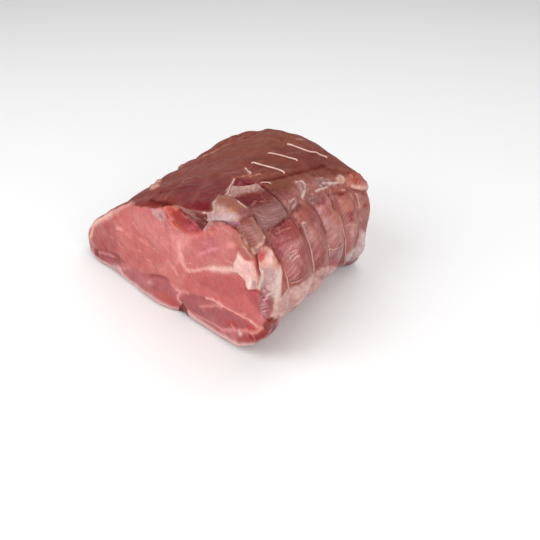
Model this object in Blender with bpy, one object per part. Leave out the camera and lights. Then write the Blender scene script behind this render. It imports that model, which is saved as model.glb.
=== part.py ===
"""Boneless pork collar, tied for roasting.

A short block of pork collar, cut across at both ends, lies on its flat side. It is thick on the
right and runs out to a thin edge on the left. Loops of twine go round it and sink into the meat,
which swells between them. The front end is the cut face, with its muscles, the seams between
them and the fat at its right edge. All sizes and places below are in millimetres: x runs to the
right along the cut face, y runs back from it, and z is the height above the surface it lies on.
The finished pieces are shifted so that the middle of the whole roast is at x = 0 and y = 0.
"""
from typing import NamedTuple

import bpy
import numpy as np
from mathutils import Vector
from mathutils.bvhtree import BVHTree

MM = 0.001

# The meat: its length, the rounding of its cut edges, and the columns of its mesh
LENGTH = 119.0
FRONT_EDGE = 3.2
BACK_EDGE = 5.0
COLUMNS_ACROSS = 38
COLUMNS_UP = 12
ARC_STEPS = 60
TIP_RADIUS = 8.0
CORNER_ABOVE_FOOT = 30.0
RIGHT_SIDE_RUN = 42.0
CORNER_BEFORE_TIP = 30.0
CORNER_AFTER_TIP = 9.0

# The twine
TWINE_RADIUS = 0.6
TWINE_LIFT = 2.0
LOOP_PLACES = (14.0, 39.0, 61.0, 81.0, 100.0)
LOOP_ROWS = (-6.5, -2.8, 0.0, 2.8, 6.5)
GROOVE_WIDTH = 2.7
GROOVE_DEPTH_SIDE = 3.9
GROOVE_DEPTH_TOP = 2.4
GROOVE_DEPTH_LEFT = 2.75
GROOVE_DEPTH_UNDER = 2.95
LOBE_SIDE = 2.8
LOBE_TOP = 0.9
LOBE_LEFT = 1.5
END_LOBE = 9.0

# Colours, as red, green and blue from 0 to 1
MEAT_COLOUR = (0.46, 0.13, 0.115)
TWINE_COLOUR = (0.72, 0.52, 0.44)


class Section(NamedTuple):
    """One cross-section of the meat, at y behind the cut face."""

    y: float
    tip_x: float
    tip_z: float
    crown_x: float
    crown_z: float
    side_x: float
    side_z: float
    foot_x: float
    shoulder: float
    slope: float


# A shoulder or slope of 1 is a quarter of an ellipse, below 1 it is fuller, above 1 it is flatter.
SECTIONS = (
    Section(0, -82, 13, 64, 82, 92, 32, 48, 0.72, 1.45),
    Section(20, -81, 12, 48, 80, 89, 40, 36, 1.05, 1.38),
    Section(45, -81, 12, 42, 79, 83, 42, 33, 1.15, 1.24),
    Section(75, -83, 14, 32, 78, 73, 38, 38, 1.15, 1.10),
    Section(100, -87, 18, 16, 76.5, 66, 40, 48, 1.00, 1.05),
    Section(119, -88, 24, -8, 74.5, 61, 44, 56, 0.90, 1.05),
)


class Swell(NamedTuple):
    """A soft rise of the surface, or a hollow where the height is negative."""

    centre: tuple
    reach: tuple
    height: float


SWELLS = (
    Swell((74, 4, 66), (9, 9, 17), 3.0),  # narrow muscle between the cut face and the first loop
    Swell((90, 7, 40), (9, 7, 14), 1.6),  # fat beside the cut face
    Swell((58, 7, 83), (15, 7, 8), 2.6),  # fat flap on the front hump
    Swell((36, 37, 79), (8, 4, 8), -2.4),  # hollow behind the flap
    Swell((66, 27, 75), (10, 9, 6), 2.6),  # upper muscle, first bulge over the crease
    Swell((57, 50, 74), (9, 9, 6), 1.8),  # upper muscle, second bulge over the crease
    Swell((57, 112, 63), (11, 9, 6), 4.4),  # knob at the back end of the crease
    Swell((62, 112, 42), (9, 9, 8), 1.6),  # muscle under the knob
    Swell((62, 111, 16), (13, 14, 10), 4.6),  # fat low at the back
    Swell((-84, 0, 5), (7, 16, 5), -2.2),  # tuck under the left tip
    Swell((84, 27, 52), (10, 9, 14), 1.4),  # red muscle between the first two loops
    Swell((-6, 98, 74), (26, 18, 10), 1.6),  # back of the top
    Swell((-30, 72, 66), (24, 26, 14), -1.0),  # long dip on the left slope
)

# How far the right side of each loop lies behind its top: y and shift
SIDE_SHIFTS = ((0, 0), (14, 2), (39, 2.5), (61, 0.5), (81, 4), (100, 3), (119, 0))

# The crease along the right shoulder, between the upper muscle and the side muscle
CREASE = ((76, 13, 72), (71, 24, 69), (66, 40, 68), (60, 61, 67), (55, 80, 65), (58, 97, 61), (64, 108, 54))
CREASE_WIDTH = 3.4
CREASE_DEPTH = 3.8

# The two cut faces. Places on them are x and z; a positive height stands out of the face.
FACE_BLEND = 12.0
FACE_DOME = 1.2
FACE_MIDDLE = (8.0, 36.0)
FACE_REACH = (80.0, 36.0)


class FaceSwell(NamedTuple):
    """A rise of the cut face, or a hollow where the height is negative."""

    centre: tuple
    reach: tuple
    height: float


FRONT_SWELLS = (
    FaceSwell((-66, 3), (15, 11), 3.5),  # small muscle under the left tip
    FaceSwell((-36, 0), (34, 19), 5.0),  # lower left muscle, slumped forward
    FaceSwell((2, 0), (22, 16), 5.2),  # its right end, up to the notch
    FaceSwell((46, 14), (24, 13), 1.8),  # lower right muscle
    FaceSwell((76, 3), (14, 12), 2.6),  # right corner, pushed forward on the ground
    FaceSwell((21, 3), (3.2, 6.5), -5.0),  # notch between the two lower muscles
    FaceSwell((42, 68), (11, 6), -6.0),  # hollow under the top edge
    FaceSwell((24, 63), (13, 5), 1.8),  # bright flap left of the hollow
    FaceSwell((66, 62), (14, 10), 1.6),  # muscle under the front hump
    FaceSwell((-35, 30), (30, 12), 1.2),  # large left muscle
)


class FaceSeam(NamedTuple):
    """A valley along a seam of the cut face."""

    route: tuple
    width: float
    depth: float


FRONT_SEAMS = (
    FaceSeam(((22, 46), (25, 34), (39, 39), (66, 54)), 3.0, 1.0),  # main seam
    FaceSeam(((17, 6), (18, 16), (46, 25), (82, 26)), 3.0, 1.2),  # over the lower muscles
    FaceSeam(((38, 7), (56, 9), (74, 18), (86, 27)), 2.6, 0.8),  # low on the right
    FaceSeam(((82, 68), (84, 58), (86, 48)), 2.4, 2.2),  # crease down the fat
)

BACK_SWELLS = (
    FaceSwell((-40, 22), (30, 16), 2.0),  # wide muscle on the thin side
    FaceSwell((24, 52), (24, 14), 1.8),  # upper muscle
    FaceSwell((32, 16), (20, 12), 1.6),  # lower muscle
)
BACK_SEAMS = (
    FaceSeam(((-70, 20), (-30, 34), (6, 30), (40, 36), (58, 30)), 3.0, 1.4),
    FaceSeam(((6, 30), (2, 14), (8, 4)), 3.0, 1.2),
    FaceSeam(((-8, 33), (-12, 50), (-4, 64)), 2.6, 1.0),
)

# Dips that break the top edge of the cut face: x, reach and depth
EDGE_DIPS = ((40, 12, 4.0), (8, 14, 2.0))
EDGE_DIP_RUN = 13.0

# Short runs of twine that show besides the loops, and loose ends: start, middle and end of each
SHORT_RUNS = {
    "twine_stitch_front": ((88, 19, 46), (88, 25, 44), (86, 31, 43)),
    "twine_stitch_back": ((78, 66, 44), (76, 72, 42), (73, 78, 38)),
    "twine_end_right": ((44, 43, 79), (46, 47, 80), (52, 47, 79)),
    "twine_end_left": ((38, 19, 79), (33, 26, 79.5), (27, 35, 79)),
    "twine_end_back": ((20, 50, 77.5), (24, 48, 79), (29, 46, 79)),
}
RUN_LIFT = 1.2
RUN_STEPS = 6


def clear_scene():
    for obj in list(bpy.data.objects):
        bpy.data.objects.remove(obj, do_unlink=True)


def new_collection(name):
    collection = bpy.data.collections.new(name)
    bpy.context.scene.collection.children.link(collection)
    return collection


def make_material(name, colour, roughness):
    material = bpy.data.materials.new(name)
    material.use_nodes = True
    shader = material.node_tree.nodes["Principled BSDF"]
    shader.inputs["Base Color"].default_value = (*colour, 1.0)
    shader.inputs["Roughness"].default_value = roughness
    shader.inputs["Metallic"].default_value = 0.0
    return material


def section_value(field, y):
    """A size of the section at y, on a smooth curve through the sections' own values."""
    places = [section.y for section in SECTIONS]
    values = [getattr(section, field) for section in SECTIONS]
    slopes = np.gradient(values, places)
    k = int(np.clip(np.searchsorted(places, y, side="right") - 1, 0, len(places) - 2))
    span = places[k + 1] - places[k]
    t = (y - places[k]) / span
    start = (2 * t**3 - 3 * t**2 + 1) * values[k] + (t**3 - 2 * t**2 + t) * span * slopes[k]
    end = (3 * t**2 - 2 * t**3) * values[k + 1] + (t**3 - t**2) * span * slopes[k + 1]
    return start + end


def quarter(centre, across, up, fullness):
    """A quarter of a rounded outline, from the end of `across` to the end of `up`."""
    turn = np.linspace(0, np.pi / 2, ARC_STEPS)[:-1, None]
    return centre + across * np.cos(turn) ** fullness + up * np.sin(turn) ** fullness


def fine_outline(y):
    """The section at y as a closed line, and the lengths along it at the foot and the tip."""
    size = {field: section_value(field, y) for field in Section._fields[1:]}
    heel = size["tip_x"] + TIP_RADIUS
    foot = size["foot_x"]
    crown, crown_z = size["crown_x"], size["crown_z"]
    side, side_z = size["side_x"], size["side_z"]
    tip, tip_z = size["tip_x"], size["tip_z"]
    across, up = np.array((1.0, 0.0)), np.array((0.0, 1.0))
    base = np.array((foot, 0.0)) + np.linspace(heel - foot, 0, ARC_STEPS)[:-1, None] * across
    rise, slope_rise = (crown_z - side_z) * up, (crown_z - tip_z) * up
    arcs = [
        base,
        quarter(np.array((foot, side_z)), -side_z * up, (side - foot) * across, 1.0),
        quarter(np.array((crown, side_z)), (side - crown) * across, rise, size["shoulder"]),
        quarter(np.array((crown, tip_z)), slope_rise, (tip - crown) * across, size["slope"]),
        quarter(np.array((heel, tip_z)), (tip - heel) * across, -tip_z * up, 1.0),
    ]
    line = np.concatenate(arcs + [base[:1]])
    length = np.concatenate([[0], np.cumsum(np.linalg.norm(np.diff(line, axis=0), axis=1))])
    foot_at = length[len(arcs[0])]
    tip_at = length[sum(len(arc) for arc in arcs[:4])]
    return line, length, foot_at, tip_at


def outline(y):
    """The section at y in even steps: underside, right side, top and left side in turn."""
    line, length, foot_at, tip_at = fine_outline(y)
    start = tip_at + CORNER_AFTER_TIP - length[-1]
    corners = [start, foot_at + CORNER_ABOVE_FOOT]
    corners.append(corners[1] + RIGHT_SIDE_RUN)
    corners.append(tip_at - CORNER_BEFORE_TIP)
    corners.append(start + length[-1])
    counts = (COLUMNS_ACROSS, COLUMNS_UP, COLUMNS_ACROSS, COLUMNS_UP)
    places = [np.linspace(a, b, n, endpoint=False) for a, b, n in zip(corners, corners[1:], counts)]
    at = np.concatenate(places) % length[-1]
    return np.stack([np.interp(at, length, line[:, 0]), np.interp(at, length, line[:, 1])], axis=1)


def outward(ring):
    """Unit normals of a closed section line, in its own plane."""
    along = np.roll(ring, -1, axis=0) - np.roll(ring, 1, axis=0)
    normal = np.stack([along[:, 1], -along[:, 0]], axis=1)
    return normal / np.linalg.norm(normal, axis=1)[:, None]


def row_places():
    """Where the rows of the mesh lie: both rounded edges, each loop's groove and between loops."""
    turn = np.radians((90, 60, 30, 0))
    rows = list(FRONT_EDGE * (1 - np.sin(turn)))
    rows += [loop + offset for loop in LOOP_PLACES for offset in LOOP_ROWS]
    for before, after in zip(LOOP_PLACES, LOOP_PLACES[1:]):
        rows.append((before + after) / 2)
    rows += list(LENGTH - BACK_EDGE * (1 - np.sin(turn)))
    return np.sort(np.array(rows))


def edge_inset(y):
    """How far the rounded edges of the two cut faces draw the outline in at y."""
    front = max(0.0, FRONT_EDGE - y)
    back = max(0.0, y - (LENGTH - BACK_EDGE))
    front_inset = FRONT_EDGE - np.sqrt(max(0.0, FRONT_EDGE**2 - front**2))
    back_inset = BACK_EDGE - np.sqrt(max(0.0, BACK_EDGE**2 - back**2))
    return front_inset + back_inset


def ease(value, low, high):
    """0 below low, 1 above high, and a smooth rise between."""
    t = np.clip((value - low) / (high - low), 0, 1)
    return t * t * (3 - 2 * t)


def route_distance(points, route):
    """The distance from each point to a line of straight runs."""
    route = np.array(route, dtype=float)
    nearest = np.full(len(points), np.inf)
    for a, b in zip(route, route[1:]):
        run = b - a
        t = np.clip((points - a) @ run / (run @ run), 0, 1)
        nearest = np.minimum(nearest, np.linalg.norm(points - a - t[:, None] * run, axis=1))
    return nearest


def by_facing(normals, side, top, left, under):
    """A value that goes smoothly from one way of facing to the next."""
    x, z = normals[:, 0], normals[:, 1]
    right_share = ease(x, 0.15, 0.75)
    left_share = ease(-x, 0.2, 0.6)
    value = top + (side - top) * right_share + (left - top) * left_share
    return value + (under - value) * ease(-z, 0.55, 0.98)


def loop_relief(points, normals):
    """Grooves under the loops of twine, and the lobes of meat that swell between them."""
    y = points[:, 1]
    depth = by_facing(normals, GROOVE_DEPTH_SIDE, GROOVE_DEPTH_TOP, GROOVE_DEPTH_LEFT, GROOVE_DEPTH_UNDER)
    height = by_facing(normals, LOBE_SIDE, LOBE_TOP, LOBE_LEFT, 0.0) * ease(points[:, 2], 2, 40)
    groove = sum(np.exp(-(((y - loop) / GROOVE_WIDTH) ** 2)) for loop in LOOP_PLACES)
    stops = (-END_LOBE + LOOP_PLACES[0], *LOOP_PLACES, LOOP_PLACES[-1] + 2 * END_LOBE)
    lobe = np.zeros(len(points))
    for before, after in zip(stops, stops[1:]):
        t = np.clip((y - before) / (after - before), 0, 1)
        lobe = np.maximum(lobe, np.sqrt(np.sin(np.pi * t).clip(0)))
    return height * lobe * (1 - groove) - depth * groove


def unevenness(points):
    """A slow, slight waviness that no two parts of the surface share."""
    x, y, z = points.T
    wave = np.sin(x / 17 + 1.3) * np.sin(y / 13 + 0.4) + 0.7 * np.sin((x + z) / 9 + y / 21)
    return 0.45 * wave + 0.3 * np.sin(x / 6.5 - y / 8 + 2.0)


def body_relief(points, normals):
    """How far each point of the wall moves out along its normal."""
    relief = loop_relief(points, normals)
    calm = 1 - sum(np.exp(-(((points[:, 1] - loop) / GROOVE_WIDTH) ** 2)) for loop in LOOP_PLACES)
    for swell in SWELLS:
        off = (points - np.array(swell.centre)) / np.array(swell.reach)
        relief += swell.height * np.exp(-(off**2).sum(axis=1))
    crease = np.exp(-((route_distance(points, CREASE) / CREASE_WIDTH) ** 2))
    relief -= CREASE_DEPTH * crease * calm
    above_base = ease(points[:, 2], 2.0, 14.0)
    return relief + unevenness(points) * above_base * calm


def face_relief(points, swells, seams):
    """How far each point of a cut face stands out, from its x and z."""
    off_middle = (points - np.array(FACE_MIDDLE)) / np.array(FACE_REACH)
    relief = FACE_DOME * np.clip(1 - (off_middle**2).sum(axis=1), 0, 1)
    for swell in swells:
        off = (points - np.array(swell.centre)) / np.array(swell.reach)
        relief += swell.height * np.exp(-(off**2).sum(axis=1))
    for seam in seams:
        relief -= seam.depth * np.exp(-((route_distance(points, seam.route) / seam.width) ** 2))
    return relief


def drop_edge(points):
    """Lets the top edge of the cut face dip where the meat is torn away."""
    x, y, z = points.T
    near = np.clip(1 - y / EDGE_DIP_RUN, 0, 1) ** 2
    dip = sum(depth * np.exp(-(((x - place) / reach) ** 2)) for place, reach, depth in EDGE_DIPS)
    points[:, 2] = z - dip * near * ease(z, 45, 66)


def meat_wall():
    """The wall of the meat as rows of points from the front edge to the back edge."""
    rows = []
    for y in row_places():
        ring = outline(y)
        normals = outward(ring)
        points = np.stack([ring[:, 0], np.full(len(ring), y), ring[:, 1]], axis=1)
        relief = body_relief(points, normals) - edge_inset(y)
        points[:, (0, 2)] += normals * relief[:, None]
        points[:, 2] = np.maximum(points[:, 2], 0)
        drop_edge(points)
        shift = np.interp(y, *zip(*SIDE_SHIFTS))
        points[:, 1] += shift * ease(points[:, 0], 20, 60)
        front = ease(FACE_BLEND - y, 0, FACE_BLEND)
        back = ease(y - LENGTH + FACE_BLEND, 0, FACE_BLEND)
        points[:, 1] -= face_relief(points[:, (0, 2)], FRONT_SWELLS, FRONT_SEAMS) * front
        points[:, 1] += face_relief(points[:, (0, 2)], BACK_SWELLS, BACK_SEAMS) * back
        rows.append(points)
    return np.array(rows)


def patch(ring):
    """Points inside a closed ring, as a grid between its four sides."""
    across, up = COLUMNS_ACROSS, COLUMNS_UP
    bottom = ring[: across + 1]
    right = ring[across : across + up + 1]
    top = ring[across + up : 2 * across + up + 1][::-1]
    left = np.concatenate([ring[2 * across + up :], ring[:1]])[::-1]
    u = np.linspace(0, 1, across + 1)[None, :, None]
    v = np.linspace(0, 1, up + 1)[:, None, None]
    sides = (1 - v) * bottom[None] + v * top[None] + (1 - u) * left[:, None] + u * right[:, None]
    low = (1 - u) * bottom[0] + u * bottom[-1]
    high = (1 - u) * top[0] + u * top[-1]
    return sides - (1 - v) * low - v * high


def patch_faces(ring_index, grid_index, towards_front):
    """Quads of a patch whose rim is the wall's own ring of points."""
    across, up = COLUMNS_ACROSS, COLUMNS_UP
    index = np.zeros((up + 1, across + 1), dtype=int)
    index[0] = ring_index[: across + 1]
    index[:, -1] = ring_index[across : across + up + 1]
    index[-1] = ring_index[across + up : 2 * across + up + 1][::-1]
    index[:, 0] = np.concatenate([ring_index[2 * across + up :], ring_index[:1]])[::-1]
    index[1:-1, 1:-1] = grid_index
    quads = []
    for row in range(up):
        for column in range(across):
            a, b = index[row, column], index[row, column + 1]
            c, d = index[row + 1, column + 1], index[row + 1, column]
            quads.append((a, b, c, d) if towards_front else (a, d, c, b))
    return quads


def build_meat():
    """Points and faces of the lofted wall, closed by a patch at each end, and the wall's rows."""
    wall = meat_wall()
    count, around = wall.shape[:2]
    points = [wall.reshape(-1, 3)]
    faces = []
    for row in range(count - 1):
        for column in range(around):
            a, b = row * around + column, row * around + (column + 1) % around
            faces.append((a + around, b + around, b, a))
    for row, towards_front in ((0, True), (count - 1, False)):
        inner = patch(wall[row])[1:-1, 1:-1]
        flat = inner.reshape(-1, 3)
        if towards_front:
            flat[:, 1] = -face_relief(flat[:, (0, 2)], FRONT_SWELLS, FRONT_SEAMS)
        else:
            flat[:, 1] = LENGTH + face_relief(flat[:, (0, 2)], BACK_SWELLS, BACK_SEAMS)
        first = sum(len(group) for group in points)
        grid = np.arange(first, first + len(flat)).reshape(inner.shape[:2])
        points.append(flat)
        ring = np.arange(row * around, (row + 1) * around)
        faces += patch_faces(ring, grid, towards_front)
    return np.concatenate(points), faces, wall


def meat_object(points, faces):
    mesh = bpy.data.meshes.new("roast")
    mesh.from_pydata([tuple(point) for point in points * MM], [], faces)
    mesh.update()
    mesh.shade_smooth()
    return bpy.data.objects.new("roast", mesh)


def twine_object(name, route, closed):
    """A length of twine along a route of points."""
    curve = bpy.data.curves.new(name, "CURVE")
    curve.dimensions = "3D"
    curve.bevel_depth = TWINE_RADIUS * MM
    curve.bevel_resolution = 2
    curve.use_fill_caps = not closed
    spline = curve.splines.new("POLY")
    spline.points.add(len(route) - 1)
    for point, place in zip(spline.points, np.array(route) * MM):
        point.co = (*place, 1.0)
    spline.use_cyclic_u = closed
    return bpy.data.objects.new(name, curve)


def loop_route(wall, place):
    """The middle line of the loop that lies in the groove at this place."""
    row = int(np.argmin(np.abs(row_places() - place)))
    route = wall[row].copy()
    route[:, (0, 2)] += outward(route[:, (0, 2)]) * TWINE_LIFT
    smooth = (np.roll(route, 1, axis=0) + 2 * route + np.roll(route, -1, axis=0)) / 4
    return smooth[::2]


def short_route(points, tree):
    """A curve through three points, kept clear of the meat."""
    start, middle, end = (Vector(point) for point in points)
    bend = 2 * middle - (start + end) / 2
    route = []
    for t in np.linspace(0, 1, RUN_STEPS + 1):
        place = start * (1 - t) ** 2 + bend * 2 * t * (1 - t) + end * t**2
        nearest, normal, _, _ = tree.find_nearest(place)
        height = max((place - nearest).dot(normal), RUN_LIFT)
        route.append(tuple(nearest + normal * height))
    return route


def main():
    clear_scene()
    collection = new_collection("pork_collar_roast")
    meat_material = make_material("raw pork", MEAT_COLOUR, 0.42)
    twine_material = make_material("cotton twine", TWINE_COLOUR, 0.8)
    points, faces, wall = build_meat()
    middle = (points.min(axis=0) + points.max(axis=0)) / 2
    origin = np.array((middle[0], middle[1], 0.0))
    roast = meat_object(points - origin, faces)
    roast.data.materials.append(meat_material)
    collection.objects.link(roast)
    tree = BVHTree.FromPolygons([tuple(point) for point in points], faces)
    routes = {f"twine_loop_{n}": loop_route(wall, y) for n, y in enumerate(LOOP_PLACES, start=1)}
    routes |= {name: short_route(run, tree) for name, run in SHORT_RUNS.items()}
    for name, route in routes.items():
        piece = twine_object(name, route - origin, name not in SHORT_RUNS)
        piece.data.materials.append(twine_material)
        collection.objects.link(piece)


main()
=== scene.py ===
"""Looks of a raw boneless pork collar, tied with cotton twine.

Sizes are in millimetres, from the lower middle of the cut face: x runs to the right along the
face, y runs back from it, and z is the height above the floor. A mark on the sides that the camera
sees is drawn in its picture: across and down from the top left corner, in a picture 540 wide.
A colour is red, green and blue from 0 to 255, as it looks in the light.
"""

import bpy
import numpy as np
from mathutils import Euler, Matrix, Vector, noise
from mathutils.bvhtree import BVHTree


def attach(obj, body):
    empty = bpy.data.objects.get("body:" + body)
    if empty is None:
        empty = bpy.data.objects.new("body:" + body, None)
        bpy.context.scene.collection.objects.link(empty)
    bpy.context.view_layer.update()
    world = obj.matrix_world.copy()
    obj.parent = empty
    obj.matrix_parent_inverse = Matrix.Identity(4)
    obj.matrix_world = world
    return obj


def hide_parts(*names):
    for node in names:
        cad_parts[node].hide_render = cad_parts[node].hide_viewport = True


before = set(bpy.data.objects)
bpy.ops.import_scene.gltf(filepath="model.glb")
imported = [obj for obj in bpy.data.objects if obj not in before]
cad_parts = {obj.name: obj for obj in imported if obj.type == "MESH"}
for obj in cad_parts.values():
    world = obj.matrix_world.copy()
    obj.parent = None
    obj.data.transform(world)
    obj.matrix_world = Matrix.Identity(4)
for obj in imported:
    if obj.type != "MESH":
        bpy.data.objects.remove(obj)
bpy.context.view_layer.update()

# The meat
# One block of raw pork collar: several muscles that run from the front cut to the back cut, with
# thin seams of fat between them. It is one piece, cut by knife at both ends and trimmed by hand.
MM = 0.001
MIDDLE = np.array((3.62, 57.46, 0.0))
GRID = 1.9
SMOOTHINGS = 3
MERGE = 1e-5
PICTURE = 540
FOCAL = 634.65
CAMERA_PLACE = np.array((267.75, -177.75, 225.0))
# How far the camera is tilted up from straight down, rolled and turned to the left, in degrees.
CAMERA_ANGLES = (57.211, -0.8271, 45.2102)
CAMERA_TURN = np.array(Euler(np.radians(CAMERA_ANGLES)).to_matrix())
# How squarely a surface has to face the camera before marks can be drawn on it, from 0 to 1.
IN_SIGHT = 0.05
FOOT = 0.5


def alone(piece):
    """Makes this piece the only one selected, and the active one."""
    bpy.ops.object.select_all(action="DESELECT")
    piece.select_set(True)
    bpy.context.view_layer.objects.active = piece


def apply_modifier(piece, kind, **settings):
    """Adds a modifier with these settings and applies it."""
    alone(piece)
    modifier = piece.modifiers.new(kind, kind)
    for name, value in settings.items():
        setattr(modifier, name, value)
    bpy.ops.object.modifier_apply(modifier=modifier.name)


def places_of(piece):
    """Where the corners of the piece's mesh are, in millimetres."""
    flat = np.zeros(len(piece.data.vertices) * 3)
    piece.data.vertices.foreach_get("co", flat)
    return flat.reshape(-1, 3) / MM + MIDDLE


def normals_of(piece):
    """Which way the surface faces at each corner of the mesh."""
    flat = np.zeros(len(piece.data.vertices) * 3)
    piece.data.vertices.foreach_get("normal", flat)
    return flat.reshape(-1, 3)


def to_camera(places, normals):
    """How squarely the surface at these places faces the camera: 1 when straight at it."""
    sight = CAMERA_PLACE - places
    return (normals * sight).sum(axis=1) / np.linalg.norm(sight, axis=1)


def in_picture(places):
    """Where these places show in the camera's picture: across and down."""
    seen = (places - CAMERA_PLACE) @ CAMERA_TURN
    return PICTURE / 2 + FOCAL * seen[:, :2] * (-1, 1) / seen[:, 2:3]


def within(points, ring):
    """Which of these points of a picture lie inside a closed outline."""
    inside = np.zeros(len(points), dtype=bool)
    for (x1, y1), (x2, y2) in zip(ring, [*ring[1:], ring[0]]):
        if y1 != y2:
            crosses = (points[:, 1] > y1) != (points[:, 1] > y2)
            inside ^= crosses & (points[:, 0] < x1 + (points[:, 1] - y1) / (y2 - y1) * (x2 - x1))
    return inside


def ease(value, low, high):
    """0 below low, 1 above high, and a smooth rise between."""
    t = np.clip((value - low) / (high - low), 0, 1)
    return t * t * (3 - 2 * t)


def hump(distance, width):
    """1 at no distance, fading out over the width."""
    return np.exp(-((distance / width) ** 2))


def move(piece, distances):
    """Moves the piece's surface out along its normals, by millimetres."""
    places = places_of(piece) + normals_of(piece) * distances[:, None]
    piece.data.vertices.foreach_set("co", ((places - MIDDLE) * MM).reshape(-1))
    piece.data.update()


def refine(marked):
    """Splits each face of the meat whose corners are all marked into four."""
    for edge in meat.data.edges:
        edge.select = False
    for polygon in meat.data.polygons:
        polygon.select = all(marked[i] for i in polygon.vertices)
    alone(meat)
    bpy.ops.object.mode_set(mode="EDIT")
    bpy.ops.mesh.select_mode(type="FACE")
    bpy.ops.mesh.subdivide(number_cuts=1)
    bpy.ops.object.mode_set(mode="OBJECT")


meat = bpy.data.objects.new("meat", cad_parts["roast"].data.copy())
bpy.context.scene.collection.objects.link(meat)
alone(meat)
bpy.ops.object.mode_set(mode="EDIT")
bpy.ops.mesh.select_all(action="SELECT")
bpy.ops.mesh.remove_doubles(threshold=MERGE)
bpy.ops.mesh.tris_convert_to_quads()
bpy.ops.object.mode_set(mode="OBJECT")
apply_modifier(meat, "SUBSURF", levels=1, render_levels=1)
apply_modifier(meat, "REMESH", mode="VOXEL", voxel_size=GRID * MM)

# The sides that the camera sees get smaller faces.
in_sight = to_camera(places_of(meat), normals_of(meat)) > IN_SIGHT
refine(in_sight & (places_of(meat)[:, 2] > FOOT))
apply_modifier(meat, "SMOOTH", factor=0.5, iterations=SMOOTHINGS)

# The meat closes over the twine on top: there the grooves fill up and the swells between sink.
# Each groove has its place behind the cut face, how far it has shifted back at the thick side, and
# the height down to which it is closed.
GROOVES_ON_TOP = ((14, 2, 63), (39, 2.5, 66), (61, 0.5, 66), (81, 4, 58), (100, 3, 60))
SHIFT_BETWEEN = (20, 60)
CLOSED_BETWEEN = (-40, -10)
CLOSED_EDGE = 6
GROOVE_WIDTH = 2.2
SWELL_AWAY = 10
SWELL_WIDTH = 6
CLOSED_OVER = 2.0
LEVELLED = 1.0

places = places_of(meat)
closing = np.zeros(len(places))
for place, shift, height in GROOVES_ON_TOP:
    aside = places[:, 1] - place - shift * ease(places[:, 0], *SHIFT_BETWEEN)
    on_top = ease(places[:, 2] - height, 0, CLOSED_EDGE) * ease(places[:, 0], *CLOSED_BETWEEN)
    closing += hump(aside, GROOVE_WIDTH) * on_top * CLOSED_OVER
    closing -= hump(np.abs(aside) - SWELL_AWAY, SWELL_WIDTH) * on_top * LEVELLED
move(meat, closing)

# The part with the finest marks gets smaller faces once more.
CLOSE_WORK = (
    (150, 204), (210, 208), (216, 192), (232, 176), (262, 172), (300, 178), (345, 174), (346, 196),
    (322, 212), (300, 240), (303, 284), (288, 292), (282, 345), (248, 352), (178, 312), (176, 290),
    (210, 290), (232, 276), (176, 276), (176, 254), (236, 258), (232, 232), (160, 226),
)
in_sight = to_camera(places_of(meat), normals_of(meat)) > IN_SIGHT
refine(in_sight & within(in_picture(places_of(meat)), CLOSE_WORK))

# From here on the surface is drawn on and kept as values of each corner: its tint, how fatty it is
# and its relief in millimetres. Lumps of smooth noise let each drawn edge wander a little.
WANDER = ((4, 0.32), (1.5, 0.08))
BARE_MEAT = (139, 82, 74)

spots = places_of(meat)
facing = normals_of(meat)
relief = np.zeros(len(spots))
fat = np.zeros(len(spots))


def cloud(size, seed=0, stretch=(1, 1, 1)):
    """Smooth noise from about -1 to 1, with lumps of this size, drawn out along some axes."""
    at = spots / (size * np.array(stretch)) + seed * 17.3
    return np.array([noise.noise(place) for place in at]) * 1.6


def linear(colour):
    """Linear red, green and blue from a colour given as 0 to 255."""
    share = np.array(colour, dtype=float) / 255
    return np.where(share < 0.04045, share / 12.92, ((share + 0.055) / 1.055) ** 2.4)


def paint(mask, colour, strength=1.0, fatty=None, raised=0.0):
    """Tints the meat where the mask is, makes it fatty or lean, and raises it by millimetres."""
    global tint, fat, relief
    share = np.clip(mask, 0, 1) * strength
    tint = tint + (linear(colour) - tint) * share[:, None]
    relief = relief + mask * raised
    if fatty is not None:
        fat = fat + (fatty - fat) * share


tint = np.tile(linear(BARE_MEAT), (len(spots), 1))
drawn = spots + np.stack([sum(far * cloud(size, seed) for size, far in WANDER) for seed in (1, 2, 3)], axis=1)

# The back cut, the left edge and the underside
# The back is a second clean cut through the same muscles. The left edge is thin and dried, with a
# little fat below, and the underside is pale where it lies.
BACK_SEAMS = (
    # x and z along each seam, and its width
    (((-72, 18), (-50, 26), (-26, 33), (6, 31), (38, 37), (62, 31)), 1.3),
    (((6, 31), (2, 15), (8, 2)), 1.1),
    (((-8, 33), (-13, 50), (-6, 66)), 0.9),
    (((34, 51), (44, 56), (52, 62)), 1.1),
    (((24, 12), (36, 16), (50, 13)), 0.9),
    (((-50, 9), (-38, 12), (-28, 10)), 1.0),
)
SEAM = (236, 170, 160)
LEFT_EDGE = (148, 84, 78)
LEFT_FAT = (200, 148, 138)
UNDERSIDE = (190, 124, 116)
BACK_LEAN = (194, 105, 102)
BACK_UPPER = (203, 114, 111)
BACK_PATCHES = (
    # size of the lumps, seed, stretch, where they start and are full, colour, strength
    (11, 13, (2, 1, 1), 0.1, 1, (214, 128, 122), 0.4),
    (11, 14, (2, 1, 1), 0.1, 1, (178, 90, 88), 0.4),
)
UNDER_PATCHES = ((16, 12, (1, 1, 1), 0, 0.7, (214, 172, 160), 0.75, 0.9),)
BACK_LUMPS = (
    # height, size, seed
    (0.28, 9, 14),
    (0.12, 3, 15),
)
# How squarely a face of the roast has to lie to belong to a cut, a side or the underside.
CUTWISE = (0.3, 0.7)
SIDEWAYS = (0.2, 0.6)
DOWNWARD = (0.5, 0.9)
CUT_DEPTH = 14
BACK_CUT = 105
CUT_FADE = 6
LEFT_FOOT = 12
UPPER_BACK_FROM = 31
UPPER_BACK_SLOPE = 0.1


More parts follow.
